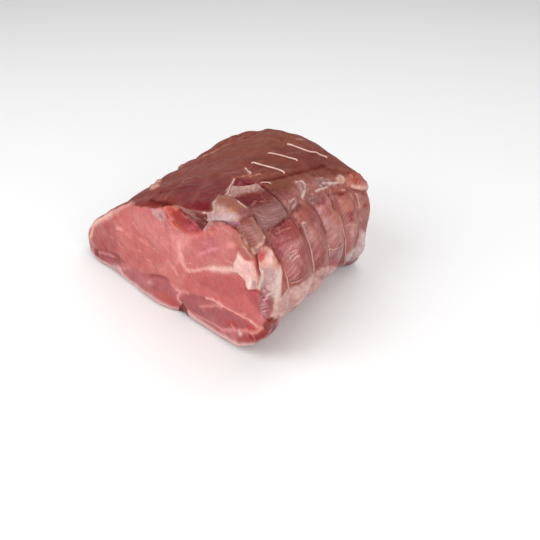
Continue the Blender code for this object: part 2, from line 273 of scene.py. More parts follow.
def patches(mask, rows):
    """Paints lumps of noise where the mask is."""
    for size, seed, stretch, start, full, *finish in rows:
        paint(mask * ease(cloud(size, seed, stretch), start, full), *finish)


def roughen(mask, lumps):
    """Makes the surface uneven with lumps of noise where the mask is."""
    global relief
    for height, *lump in lumps:
        relief = relief + mask * height * cloud(*lump)


def from_route(points, route):
    """The distance from each point to a line of straight runs."""
    nearest = np.full(len(points), np.inf)
    for a, b in zip(route, route[1:]):
        run = b - a
        t = np.clip((points - a) @ run / max(run @ run, 1e-9), 0, 1)
        nearest = np.minimum(nearest, np.linalg.norm(points - a - t[:, None] * run, axis=1))
    return nearest


on_face = ease(-facing[:, 1], *CUTWISE) * ease(CUT_DEPTH - spots[:, 1], 0, CUT_FADE)
on_back = ease(facing[:, 1], *CUTWISE) * ease(spots[:, 1] - BACK_CUT, 0, CUT_FADE)
left_edge = ease(-facing[:, 0], *SIDEWAYS) * (1 - on_face) * (1 - on_back)
left_foot = left_edge * ease(LEFT_FOOT - spots[:, 2], 0, 8)
underneath = ease(-facing[:, 2], *DOWNWARD)
upper_back = on_back * ease(spots[:, 2] - UPPER_BACK_FROM - spots[:, 0] * UPPER_BACK_SLOPE, -2, 2)

paint(left_edge, LEFT_EDGE, 0.6)
paint(left_foot, LEFT_FAT, 0.6, fatty=0.6)
paint(underneath, UNDERSIDE, 0.95, fatty=0.4)
patches(underneath, UNDER_PATCHES)
paint(on_back, BACK_LEAN, fatty=0.0)
paint(upper_back, BACK_UPPER, 0.7)
patches(on_back, BACK_PATCHES)
for route, width in BACK_SEAMS:
    seam = hump(from_route(drawn[:, (0, 2)], np.array(route, dtype=float)), width)
    paint(seam * on_back, SEAM, 0.85, fatty=0.8, raised=0.12)
roughen(on_back, BACK_LUMPS)

# The top
# The outer side has dried and turned brown. A crimson part shows beside the cut face, and thin
# threads and scraps of membrane lie along the fibres.
TOP_RIM = ((298, 170), (306, 156), (318, 147), (334, 153), (353, 168), (347, 175), (330, 177), (312, 177))
TOP_AREAS = (
    # colour, soft edge, marks
    ((140, 70, 68), 3.0, ((126, 201), (150, 189), (175, 186), (190, 196), (176, 204), (150, 207),
     (134, 206))),
    ((126, 58, 66), 4.0, ((178, 188), (196, 179), (212, 176), (230, 181), (226, 192), (216, 196),
     (214, 208), (200, 210), (184, 207))),
    ((144, 78, 80), 2.5, ((199, 176), (211, 174), (213, 184), (203, 188))),
    ((126, 60, 66), 2.0, ((196, 198), (212, 196), (215, 206), (206, 211), (196, 207))),
    ((143, 86, 80), 5.0, ((178, 172), (205, 160), (225, 168), (214, 176), (190, 182))),
    ((141, 86, 75), 5.0, ((205, 158), (235, 143), (262, 146), (250, 158), (226, 164))),
    ((124, 70, 62), 4.0, ((244, 158), (270, 154), (300, 164), (296, 172), (270, 176), (252, 170))),
    ((137, 88, 73), 4.0, ((240, 138), (275, 133), (300, 140), (290, 148), (258, 146))),
    ((120, 70, 62), 4.0, ((272, 148), (300, 146), (318, 156), (300, 160), (282, 156))),
    ((122, 72, 66), 4.0, ((300, 150), (330, 158), (352, 170), (330, 170), (306, 166))),
    ((132, 84, 72), 4.0, ((300, 134), (318, 142), (334, 156), (318, 152), (300, 144))),
    ((130, 82, 66), 3.0, ((262, 181), (280, 178), (300, 178), (316, 184), (312, 192), (298, 194),
     (284, 202), (272, 192))),
    ((122, 74, 69), 2.0, ((268, 190), (284, 190), (298, 196), (290, 202), (282, 202))),
    ((128, 78, 68), 3.0, ((300, 174), (320, 170), (346, 172), (345, 180), (330, 180), (314, 180))),
    ((150, 92, 80), 3.0, ((336, 166), (352, 170), (364, 174), (352, 178), (340, 174))),
)
TOP_LINES = (
    # colour, width, strength, marks
    # The first two lines are painted shade along the crease at the top of the right side.
    ((100, 56, 50), 1.5, 0.7, ((264, 181), (280, 177), (300, 172), (312, 168), (324, 165))),
    ((108, 62, 56), 1.5, 0.5, ((324, 168), (338, 171), (352, 174))),
    ((102, 60, 54), 1.3, 0.5, ((232, 141), (240, 137), (250, 135))),
    ((112, 62, 58), 1.6, 0.5, ((160, 192), (176, 190), (190, 186))),
    ((112, 64, 56), 1.6, 0.4, ((170, 186), (196, 178), (216, 174), (236, 175))),
    ((160, 106, 96), 1.1, 0.6, ((232, 142), (250, 139), (264, 138), (280, 142))),
    ((158, 104, 92), 1.0, 0.5, ((250, 147), (258, 145), (264, 144))),
    ((156, 100, 90), 1.0, 0.4, ((210, 156), (224, 150), (236, 147))),
    ((184, 136, 128), 0.6, 0.7, ((182, 183), (186, 179.5), (191, 178))),
    ((182, 132, 124), 0.5, 0.7, ((165, 199), (167, 196))),
    ((180, 130, 120), 0.6, 0.6, ((212, 168), (217, 169))),
    ((188, 136, 128), 0.6, 0.8, ((232, 171.5), (238, 171.5))),
    ((176, 122, 112), 0.7, 0.5, ((205, 166), (210, 163))),
    ((170, 118, 108), 0.7, 0.5, ((167, 185), (171, 184))),
    ((200, 150, 138), 0.7, 0.7, ((297, 141), (303, 142))),
    ((172, 120, 98), 1.3, 0.7, ((208, 153), (215, 149.5), (222, 146.5), (230, 144))),
    ((226, 176, 156), 1.2, 0.9, ((152, 187), (155, 183), (158, 182))),
    ((206, 150, 132), 1.2, 0.8, ((172, 168), (177, 166), (181, 166.5))),
    ((170, 110, 98), 1.4, 0.7, ((232, 140), (236, 135), (244, 133))),
    ((204, 152, 148), 0.9, 0.8, ((130, 201), (134, 204))),
)

CRAGS = (
    # colour, height and outline of the scraps that stand out along the far edge
    ((216, 166, 148), 1.3, ((150, 190), (152, 185), (157, 181), (162, 181), (160, 186), (154, 190))),
    ((206, 150, 132), 1.1, ((170, 170), (172, 166), (178, 164), (183, 166), (179, 169), (173, 171))),
    # This scrap's pale colour is partly a painted highlight along the far edge.
    ((196, 142, 126), 0.8, ((202, 158), (206, 152), (212, 148.5), (218, 147), (214, 151.5), (207, 156))),
    ((146, 92, 80), 1.6, ((228, 144), (230, 139), (236, 133.5), (244, 131.5), (248, 135), (240, 138),
     (233, 142))),
)

TOP_PATCHES = (
    (7, 8, (1, 2.2, 1), 0.1, 0.9, (112, 56, 50), 0.35),
    (5, 9, (1, 2.2, 1), 0.1, 0.9, (162, 110, 96), 0.35),
)
TOP_LUMPS = ((0.4, 12, 10, (1, 1.6, 1)), (0.03, 3.5, 11, (1, 2.4, 1)))
TOP_SHAPING = (
    # rise, width, marks
    (-2.6, 7.0, ((206, 153), (216, 146), (226, 140), (238, 134), (250, 130.5))),
    (-3.0, 9.0, ((219, 141), (226, 137.5), (232, 134), (241, 130.5), (252, 128.8))),
    (-2.2, 6.0, ((223, 139), (229, 135.5))),
    (1.5, 6.0, ((286, 136.5), (298, 139.5), (312, 146))),
)
DRIED = (142, 104, 100)
LUMPS_FROM = (2, 8)
CRAG_EDGE = 0.8
AREA_STRENGTH = 0.9
# A mark takes the nearest corner of the mesh in the picture, and of those about as near, one of the
# frontmost ones.
ABOUT_AS_NEAR = 1.5
FRONTMOST = 3.0

towards = to_camera(spots, facing)
shown = ease(towards, -0.2, 0.05)
picture = in_picture(drawn)
plain_spots = spots[towards > IN_SIGHT]
plain_picture = in_picture(plain_spots)
plain_depth = np.linalg.norm(plain_spots - CAMERA_PLACE, axis=1)


def on_meat(mark):
    """The place on the meat under a mark of the camera's picture, or beside it for one outside."""
    gaps = np.array(mark) - plain_picture
    apart = (gaps**2).sum(axis=1)
    under = np.flatnonzero(apart < ABOUT_AS_NEAR * max(apart.min(), 1.0))
    front = under[plain_depth[under] < plain_depth[under].min() + FRONTMOST]
    nearest = front[np.argmin(apart[front])]
    scale = plain_depth[nearest] / FOCAL
    return plain_spots[nearest] + CAMERA_TURN[:, :2] @ (gaps[nearest] * (1, -1)) * scale


def line(marks, width):
    """1 on a line drawn in the camera's picture, fading out over its width in millimetres."""
    route = [on_meat(mark) for mark in marks]
    return hump(from_route(drawn, route), width)


def area(marks, soft):
    """1 inside an outline drawn in the camera's picture, fading out over a soft edge."""
    edge = from_route(drawn, [on_meat(mark) for mark in (*marks, marks[0])])
    return ease(np.where(within(picture, marks), edge, -edge), -soft, soft) * shown


def paint_areas(areas):
    """Each area is a colour, a soft edge in millimetres and an outline."""
    for colour, soft, marks in areas:
        paint(area(marks, soft), colour, AREA_STRENGTH)


def paint_lines(lines, fatty=None, raised=0.0):
    """Each line is a colour, a width in millimetres, a strength and its marks."""
    for colour, width, strength, marks in lines:
        paint(line(marks, width), colour, strength, fatty, raised)


def draw(strokes):
    """Paints areas and lines in turn. Each ends with its marks."""
    for shape, size, *finish, marks in strokes:
        paint(shape(marks, size), *finish)


def reshape(rows):
    """Each row moves the surface out by millimetres along a line of some width."""
    global relief
    for rise, width, marks in rows:
        relief = relief + rise * line(marks, width)


# Painted shade: dark lines sunk along the creases above the cut face and the right side.
TOP_CREASE_SHADE = (
    # area or line, soft edge or width, colour, strength, then fattiness and rise if any, marks
    (line, 2.0, (104, 60, 54), 0.2, None, -0.9, ((264, 181), (280, 177), (300, 172), (324, 165))),
    (line, 1.1, (98, 50, 46), 0.85, None, -1.2, ((150, 200), (160, 202), (170, 204), (180, 209),
     (192, 213), (208, 215))),
    (line, 1.0, (110, 52, 50), 0.5, ((150, 203), (166, 205))),
)

on_right = ease(facing[:, 0], *SIDEWAYS) * (1 - on_face) * (1 - on_back) * (1 - area(TOP_RIM, 3.0))
dry = (1 - on_face) * (1 - on_right) * (1 - on_back)

paint_areas(TOP_AREAS)
patches(dry, TOP_PATCHES)
paint(dry, DRIED, 0.3)
paint_lines(TOP_LINES, raised=0.25)
draw(TOP_CREASE_SHADE)
roughen((1 - on_face) * ease(spots[:, 2], *LUMPS_FROM), TOP_LUMPS)
for colour, height, marks in CRAGS:
    scrap = area(marks, CRAG_EDGE)
    paint(scrap * ease(towards, 0.0, 0.15), colour, 0.9, fatty=0.5)
    relief += scrap * height
reshape(TOP_SHAPING)

# The right side
# The side muscle swells between the loops, wet and pink, with fine pale threads slanting across
# it, partly painted highlights along the fibres. A crease parts it from the upper muscle, and pale
# fat lines its foot.
SIDE_AREAS = (
    # colour, soft edge, marks
    ((160, 94, 90), 2.0, ((266, 232), (288, 217), (300, 225), (310, 255), (313, 275), (300, 284),
     (290, 286), (284, 262))),
    ((142, 70, 72), 2.0, ((267, 232), (277, 226), (288, 218), (292, 230), (282, 236), (272, 238))),
    ((156, 80, 76), 2.0, ((290, 218), (298, 222), (301, 236), (293, 240), (288, 230))),
    ((172, 96, 101), 2.5, ((270, 238), (284, 234), (292, 244), (288, 256), (280, 258), (275, 248))),
    ((182, 118, 116), 2.5, ((288, 243), (298, 244), (302, 260), (298, 274), (288, 274), (283, 260))),
    ((184, 108, 100), 2.0, ((282, 260), (288, 262), (290, 276), (286, 276))),
    ((158, 90, 88), 2.0, ((300, 240), (305, 243), (310, 258), (310, 268), (304, 264))),
    ((148, 90, 83), 1.6, ((303, 270), (311, 268), (311, 277), (305, 281))),
    ((158, 95, 91), 1.6, ((302, 222), (308, 199), (312, 206), (318, 220), (325, 240), (327, 256),
     (322, 268), (313, 271), (311, 256), (306, 240))),
    ((158, 94, 84), 1.4, ((296, 213), (303, 203), (308, 203), (308, 214), (303, 222))),
    # Painted shade where the crease under the upper muscle ends.
    ((136, 72, 70), 1.0, ((290, 213), (296, 207), (302, 203), (299, 211), (294, 215))),
    ((154, 104, 99), 2.0, ((304, 224), (312, 218), (315, 236), (312, 243), (307, 238))),
    ((166, 104, 100), 2.0, ((312, 228), (319, 226), (324, 244), (319, 258), (313, 248))),
    ((142, 88, 86), 1.4, ((313, 263), (324, 255), (326, 260), (318, 268), (313, 269))),
    ((178, 117, 112), 1.4, ((316, 208), (322, 199), (329, 197), (334, 205), (339, 217), (344, 232),
     (344, 243), (336, 247), (328, 249), (326, 240), (322, 225))),
    ((138, 74, 75), 1.2, ((315, 205), (320, 198), (327, 196), (325, 203), (320, 208))),
    ((182, 110, 95), 1.6, ((328, 199), (333, 206), (340, 224), (341, 234), (336, 226), (330, 212))),
    ((188, 134, 130), 2.0, ((322, 220), (330, 216), (336, 226), (336, 240), (329, 244), (326, 234))),
    # A painted highlight.
    ((192, 138, 146), 1.2, ((317, 209), (321, 207), (323, 213), (319, 214))),
    ((158, 108, 112), 1.2, ((328, 252), (336, 250), (344, 246), (344, 262), (338, 266), (330, 266))),
    ((166, 84, 90), 1.2, ((331, 263), (338, 259), (342, 261), (339, 266), (332, 267))),
    ((168, 107, 99), 1.4, ((333, 203), (336, 195), (345, 192), (356, 196), (361, 206), (361, 220),
     (357, 232), (352, 250), (346, 259), (346, 240), (342, 225), (338, 213))),
    ((180, 113, 98), 1.6, ((340, 201), (352, 198), (356, 209), (348, 212), (341, 208))),
    ((152, 82, 79), 1.4, ((347, 213), (354, 212), (356, 220), (350, 223))),
    ((176, 122, 118), 1.8, ((345, 224), (354, 222), (356, 232), (352, 244), (347, 240))),
    ((136, 72, 66), 1.2, ((329, 194), (338, 191), (346, 193), (338, 198), (333, 200))),
    ((166, 116, 109), 1.4, ((357, 193), (366, 193), (368, 206), (366, 220), (362, 230), (357, 232),
     (358, 212))),
    ((148, 80, 70), 1.0, ((360, 202), (367, 204), (368, 208), (361, 208))),
    ((162, 98, 89), 1.0, ((326, 188), (336, 185.5), (345, 186), (350, 190), (344, 193), (334, 192))),
)
FOOT_FAT = (
    (271, 322), (275, 306), (280, 296), (287, 289), (296, 286), (304, 282), (312, 274), (320, 268),
    (327, 266), (340, 267), (345, 261), (352, 256), (357, 248), (361, 234), (364, 229), (368, 240),
    (364, 258), (353, 282), (338, 292), (322, 300), (301, 313), (282, 328), (275, 325),
)
SIDE_THREADS_AND_HIGHLIGHTS = (
    # colour, width, strength, marks
    # Pale threads, many of them painted highlights along the fibres, and one dark line.
    ((222, 172, 164), 0.4, 0.7, ((289, 249), (292, 246), (295, 244))),
    ((222, 172, 164), 0.4, 0.7, ((290, 253), (294, 250.5), (298, 250))),
    ((230, 184, 176), 0.4, 0.8, ((290, 258), (294, 254), (297, 252.5))),
    ((230, 184, 176), 0.4, 0.8, ((292, 261), (296, 257), (300, 256))),
    ((216, 164, 158), 0.45, 0.8, ((288, 255), (291, 259))),
    ((206, 150, 144), 0.45, 0.7, ((296, 247), (299, 242))),
    ((206, 152, 146), 0.45, 0.7, ((287, 273), (291, 269), (294, 265))),
    ((206, 152, 146), 0.45, 0.7, ((288, 277), (293, 272), (297, 267))),
    ((202, 146, 140), 0.45, 0.7, ((290, 281), (295, 276), (300, 271))),
    ((196, 140, 136), 0.5, 0.6, ((276, 234), (284, 230), (290, 228))),
    ((192, 122, 124), 0.5, 0.5, ((277, 243), (284, 239), (291, 238))),
    ((196, 126, 128), 0.5, 0.5, ((279, 249), (286, 245), (292, 243))),
    # A painted highlight at the top of the second loop's run.
    ((226, 188, 178), 0.7, 0.8, ((302, 223.5), (304.5, 222.5))),
    ((196, 140, 132), 0.6, 0.7, ((310, 240), (313, 232), (317, 223))),
    ((196, 140, 134), 0.6, 0.6, ((313, 250), (317, 243), (322, 236))),
    ((196, 142, 136), 0.6, 0.6, ((315, 259), (319, 252), (325, 246))),
    ((120, 66, 64), 0.6, 0.7, ((314, 263), (319, 258), (325, 253))),
    ((204, 152, 146), 0.5, 0.6, ((322, 226), (328, 220), (333, 214))),
    ((204, 152, 146), 0.5, 0.6, ((324, 231), (331, 225), (336, 219))),
    ((204, 152, 146), 0.5, 0.6, ((326, 237), (333, 230), (339, 225))),
    ((204, 152, 146), 0.5, 0.6, ((328, 242), (335, 236), (341, 231))),
    # A painted highlight streak.
    ((212, 168, 158), 0.9, 0.7, ((351, 232), (353, 236))),
    ((206, 156, 146), 0.7, 0.6, ((346, 226), (351, 224), (356, 226))),
    ((206, 152, 142), 0.8, 0.6, ((351, 196), (353, 199))),
    ((218, 172, 162), 0.7, 0.8, ((327, 249), (332, 249.5), (338, 247.5))),
)

FOOT_STROKES = (
    (area, 1.2, (196, 156, 150), 0.95, 1.0, 0.5, FOOT_FAT),
    (area, 2.0, (212, 170, 162), 0.7, ((286, 298), (290, 289), (304, 284), (312, 277), (312, 286),
     (300, 294), (288, 302))),
    (area, 1.5, (196, 166, 168), 0.7, ((326, 270), (336, 268), (344, 266), (342, 272), (330, 277))),
)
FAR_FOOT_STROKES = (
    (line, 1.6, (142, 86, 86), 0.85, 0.0, -0.5, ((321, 277), (325, 279))),
    (area, 1.0, (134, 88, 94), 0.9, 0.0, ((344, 264), (350, 260.5), (356, 260), (350, 269), (345, 271))),
    (line, 0.9, (176, 100, 84), 0.7, 0.0, ((288, 286), (294, 284.5), (300, 283))),
    (area, 1.8, (206, 182, 180), 0.95, 1.0, 0.4, ((345, 256), (351, 251), (356, 245), (359, 238),
     (361, 230), (364, 231), (370, 238), (368, 250), (362, 256), (354, 262), (346, 264))),
    (line, 1.5, (202, 188, 192), 0.6, ((366, 238), (366, 247), (361, 254))),
    (area, 1.0, (146, 82, 94), 0.85, 0.0, ((344, 261), (352, 260), (359, 257), (356, 264), (346, 268))),
    (line, 1.5, (196, 172, 186), 0.7, ((347, 257), (350, 258), (352, 256))),
)
SIDE_PATCHES = (
    (6, 16, (1, 1, 1), 0.1, 0.9, (132, 66, 66), 0.3),
    (5, 17, (1, 1, 1), 0.1, 0.9, (206, 150, 142), 0.35),
)
FOOT_PATCHES = ((4, 18, (1, 1, 1), 0.1, 0.8, (178, 122, 112), 0.5, None, -0.2),)
SIDE_LEAN = (166, 104, 98)
FOOT_SHAPING = ((-2.4, 5.0, ((369, 240), (368, 250), (362, 258))),)

paint(on_right, SIDE_LEAN, 0.9)
paint_areas(SIDE_AREAS)
patches(on_right, SIDE_PATCHES)
paint_lines(SIDE_THREADS_AND_HIGHLIGHTS, raised=0.25)
draw(FOOT_STROKES)
patches(area(FOOT_FAT, 3.0), FOOT_PATCHES)
draw(FAR_FOOT_STROKES)
reshape(FOOT_SHAPING)

# The upper muscle of the right side
# A mauve muscle with curved pale fibres, partly painted highlights, lies between the first two
# loops. A ring of clear membrane and two curls of silverskin lie behind it, and painted shade
# darkens the crease along its lower edge.
UPPER_MUSCLE = (
    (256, 197), (262, 187), (268, 188), (275, 194), (281, 200), (286, 206), (289, 214), (284, 220),
    (276, 225), (268, 229), (263, 229), (258, 222), (253, 214), (251, 209),
)
UPPER_EDGE = ((264, 231), (270, 229), (277, 226), (284, 221), (290, 216), (295, 209), (300, 204))
CURLS = (
    # colour, width, strength, marks
    ((214, 178, 172), 0.7, 0.92, ((296, 182), (301, 181.5), (305, 185), (304.5, 190), (302, 195))),
    ((182, 142, 138), 0.6, 0.92, ((299, 184), (301.5, 188), (300, 193))),
    ((232, 200, 182), 0.9, 0.92, ((302, 194), (301.5, 197.5))),
    ((186, 146, 142), 0.6, 0.92, ((316, 179), (322, 178), (328, 180))),
    ((226, 196, 192), 0.8, 0.92, ((320, 186), (324, 183.5), (330, 184), (335, 183))),
    ((226, 194, 186), 0.7, 0.92, ((330, 184.5), (325, 188), (320, 190), (316, 191.5))),
    ((176, 136, 128), 0.6, 0.92, ((288, 210), (289, 203), (294, 198.5), (296, 203), (292, 209))),
)

UPPER_STROKES = (
    (area, 0.8, (143, 100, 97), 0.95, 0.1, UPPER_MUSCLE),
    (area, 2.0, (124, 72, 68), 0.9, ((255, 198), (264, 190), (274, 195), (270, 203), (256, 207))),
    (area, 2.0, (156, 112, 110), 0.7, ((256, 217), (270, 209), (280, 206), (286, 212), (276, 222),
     (264, 226))),
)
MEMBRANE_AND_CREASE_SHADE_STROKES = (
    # Painted shade: dark lines sunk along the crease at the muscle's lower edge.
    (line, 0.9, (106, 54, 54), 0.8, 0.0, -1.2, UPPER_EDGE[:5]),
    (line, 1.2, (118, 64, 62), 0.7, 0.0, -0.3, UPPER_EDGE[4:]),
    (area, 1.0, (152, 112, 105), 0.9, ((286, 204), (290, 199), (296, 198), (297, 204), (292, 211),
     (288, 212))),
    (area, 1.2, (148, 110, 105), 0.85, 0.5, ((295, 182), (302, 180), (307, 184), (308, 194), (303, 200),
     (298, 195))),
    (area, 1.2, (146, 110, 106), 0.85, 0.5, ((315, 178), (330, 178), (334, 185), (324, 190), (316, 186))),
    (area, 1.5, (142, 98, 95), 0.8, 0.3, ((306, 196), (316, 193), (321, 199), (314, 208), (309, 206))),
)
LUMP_STROKES = (
    (line, 0.8, (112, 80, 84), 0.7, None, -0.5, ((320, 184.5), (324, 186))),
    (area, 0.7, (204, 164, 148), 0.97, 1.0, 1.8, ((335, 179), (338, 176), (342.5, 177), (344, 182),
     (341, 185.5), (336, 184))),
    (line, 0.7, (220, 172, 158), 0.9, 0.8, 0.6, ((342, 191), (344, 190.5))),
)
# Pale strokes along the fibres, partly painted highlights.
FIBRE_HIGHLIGHT_STROKES = (
    ((259, 215), (264, 217), (270, 216)),
    ((262, 220), (268, 221), (275, 218)),
    ((260, 201), (264, 201.5)),
    ((272, 211), (277, 209), (281, 206)),
)
PALE_FIBRE_HIGHLIGHT = (176, 134, 130)
GLINTS = (
    # starts, reach, width, colour, strength, fattiness, rise
    ((309, 200), (312, 204), (313, 198), (308, 190), (316, 206), (311, 194)),
    (1.5, -1), 0.5, (184, 146, 142), 0.6, None, 0.3,
)


def dashes(starts, reach, width, *finish):
    """Paints the same short stroke at each start, reaching this far across and down."""
    for across, down in starts:
        paint(line(((across, down), (across + reach[0], down + reach[1])), width), *finish)


draw(UPPER_STROKES)
for marks in FIBRE_HIGHLIGHT_STROKES:
    paint(line(marks, 0.7), PALE_FIBRE_HIGHLIGHT, 0.5)
draw(MEMBRANE_AND_CREASE_SHADE_STROKES)
dashes(*GLINTS)
paint_lines(CURLS, fatty=0.9, raised=0.9)
draw(LUMP_STROKES)

# The cut face
# Lean pork cut across its fibres. Each muscle has its own pink, and pale seams of fat and
# connective tissue part them. A thin rim of fat follows the edge.
FACE_AREAS = (
    # colour, soft edge, marks
    ((176, 90, 88), 3.0, ((91, 232), (97, 223), (112, 220), (120, 234), (119, 250), (110, 257), (98, 250),
     (92, 241))),
    ((199, 110, 106), 4.0, ((114, 222), (132, 230), (152, 248), (166, 262), (150, 268), (130, 263),
     (118, 250))),
    ((212, 126, 123), 4.0, ((138, 210), (160, 221), (170, 236), (180, 250), (176, 264), (160, 250),
     (145, 236), (134, 222))),
    ((228, 144, 142), 3.0, ((170, 232), (186, 233), (202, 235), (193, 246), (184, 264), (176, 264),
     (172, 248))),
    ((205, 119, 116), 1.5, ((187, 268), (182, 252), (190, 240), (206, 231), (222, 231), (235, 245),
     (238, 256), (234, 264), (215, 266))),
    ((198, 112, 116), 3.0, ((196, 241), (212, 236), (222, 248), (214, 258), (198, 254))),
    ((186, 117, 107), 1.6, ((222, 226), (238, 235), (247, 243), (255, 251), (256, 259), (249, 263),
     (243, 258), (238, 250), (230, 238))),
    ((186, 104, 92), 2.0, ((232, 238), (240, 246), (242, 254), (236, 248))),
    ((202, 108, 106), 1.6, ((170, 273), (188, 271.5), (236, 272.5), (247, 287), (257, 291), (262, 318),
     (244, 312), (228, 305), (212, 297), (195, 292), (180, 288))),
    ((190, 99, 99), 3.0, ((196, 277), (222, 274), (240, 280), (246, 294), (230, 298), (206, 290))),
    ((181, 94, 99), 2.0, ((246, 289), (256, 292), (261, 301), (262, 314), (254, 307), (248, 298))),
    ((174, 97, 100), 0.9, ((181, 300), (183, 293.5), (197, 295), (212, 299), (226, 307), (240, 316),
     (255, 327), (238, 329), (223, 328), (208, 320), (196, 313), (186, 306))),
    ((188, 112, 109), 1.6, ((200, 301), (213, 301), (218, 305), (208, 307), (198, 306))),
    ((186, 84, 80), 1.2, ((225, 322), (235, 322), (237, 328), (227, 328))),
    ((190, 84, 82), 1.0, ((246, 324), (254, 326), (256, 330), (248, 330))),
    ((188, 110, 110), 0.9, ((190, 315), (200, 318), (210, 323), (222, 331), (236, 331), (252, 335),
     (256, 345), (246, 348), (230, 342), (210, 332), (196, 322))),
    ((154, 68, 66), 2.0, ((238, 336), (252, 336), (255, 344), (246, 348), (238, 344))),
    # The next five areas are the lobe at the lower right corner: dark red flesh, darkened further with
    # painted shade.
    ((142, 62, 60), 1.5, ((254, 336), (262, 330), (270, 326), (268, 336), (262, 341), (256, 343))),
    ((126, 50, 48), 1.2, ((261, 328), (267, 320), (275, 314), (279, 318), (279, 328), (270, 339),
     (258, 346), (256, 338))),
    ((100, 40, 40), 1.6, ((264, 326), (268, 320), (275, 314), (279, 318), (279, 327), (273, 335),
     (267, 336))),
    ((108, 30, 34), 1.2, ((262, 327), (266, 321), (268, 325), (265, 330))),
    ((156, 60, 58), 1.4, ((259, 329), (264, 331), (265, 336), (259, 342), (256, 338))),
    ((207, 125, 120), 2.0, ((148, 266), (166, 262), (176, 274), (188, 272), (182, 288), (168, 278),
     (155, 273))),
    ((189, 109, 111), 1.2, ((120, 270), (132, 268), (145, 271), (152, 276), (162, 276), (170, 280),
     (176, 288), (180, 292), (178, 300), (183, 307), (180, 313), (166, 307), (150, 297), (134, 286),
     (124, 279))),
    # Painted shade below the crease of the lower left.
    ((180, 100, 103), 2.0, ((150, 277), (168, 280), (172, 288), (164, 293), (150, 287))),
    ((199, 104, 100), 2.0, ((153, 292), (168, 295), (180, 304), (178, 311), (165, 305))),
    ((164, 84, 88), 1.2, ((93, 248), (104, 252), (114, 256), (121, 262), (119, 268), (108, 267),
     (98, 260))),
    ((178, 100, 104), 1.2, ((104, 258), (112, 259), (118, 264), (112, 265), (106, 262))),
    ((140, 52, 56), 0.8, ((93.5, 248), (98.5, 250), (99, 257), (95, 256))),
    ((160, 78, 78), 1.2, ((112, 252), (120, 256), (126, 263), (118, 262), (112, 257))),
)
DARK_LINES = (
    # colour, width, strength, marks, depth
    # Painted shade along the crease of the lower left, sunk into the surface.
    ((150, 74, 75), 1.0, 0.8, ((149, 276), (154, 275), (160, 276.5), (165, 278), (170, 281)), 0.9),
    ((138, 72, 70), 0.9, 0.5, ((91, 246), (97, 248.5), (106, 250.5), (114, 253.5), (120, 257)), 0.2),
    # Painted shade in the notch of the lower seam, with the next line.
    ((140, 34, 44), 1.1, 0.95, ((183, 304), (183, 308), (186, 311)), 0.6),
    ((140, 34, 44), 1.0, 0.9, ((181, 309), (185, 311)), 0.0),
    ((172, 84, 78), 0.8, 0.8, ((246, 287), (250, 290), (256, 291), (260, 294)), 0.6),
    ((196, 112, 122), 0.5, 0.6, ((203, 271.5), (215, 272)), 0.2),
    ((150, 66, 70), 0.7, 0.8, ((249, 336), (252, 340), (255, 344)), 0.7),
    ((188, 74, 76), 0.9, 0.9, ((237, 328), (238, 333)), 0.5),
    ((168, 80, 84), 0.7, 0.6, ((135, 232), (139, 236)), 0.3),
    ((170, 84, 86), 0.8, 0.5, ((146, 238), (152, 244), (157, 249)), 0.2),
    ((186, 104, 112), 0.8, 0.5, ((164, 219), (166, 226), (169, 234)), 0.2),
)
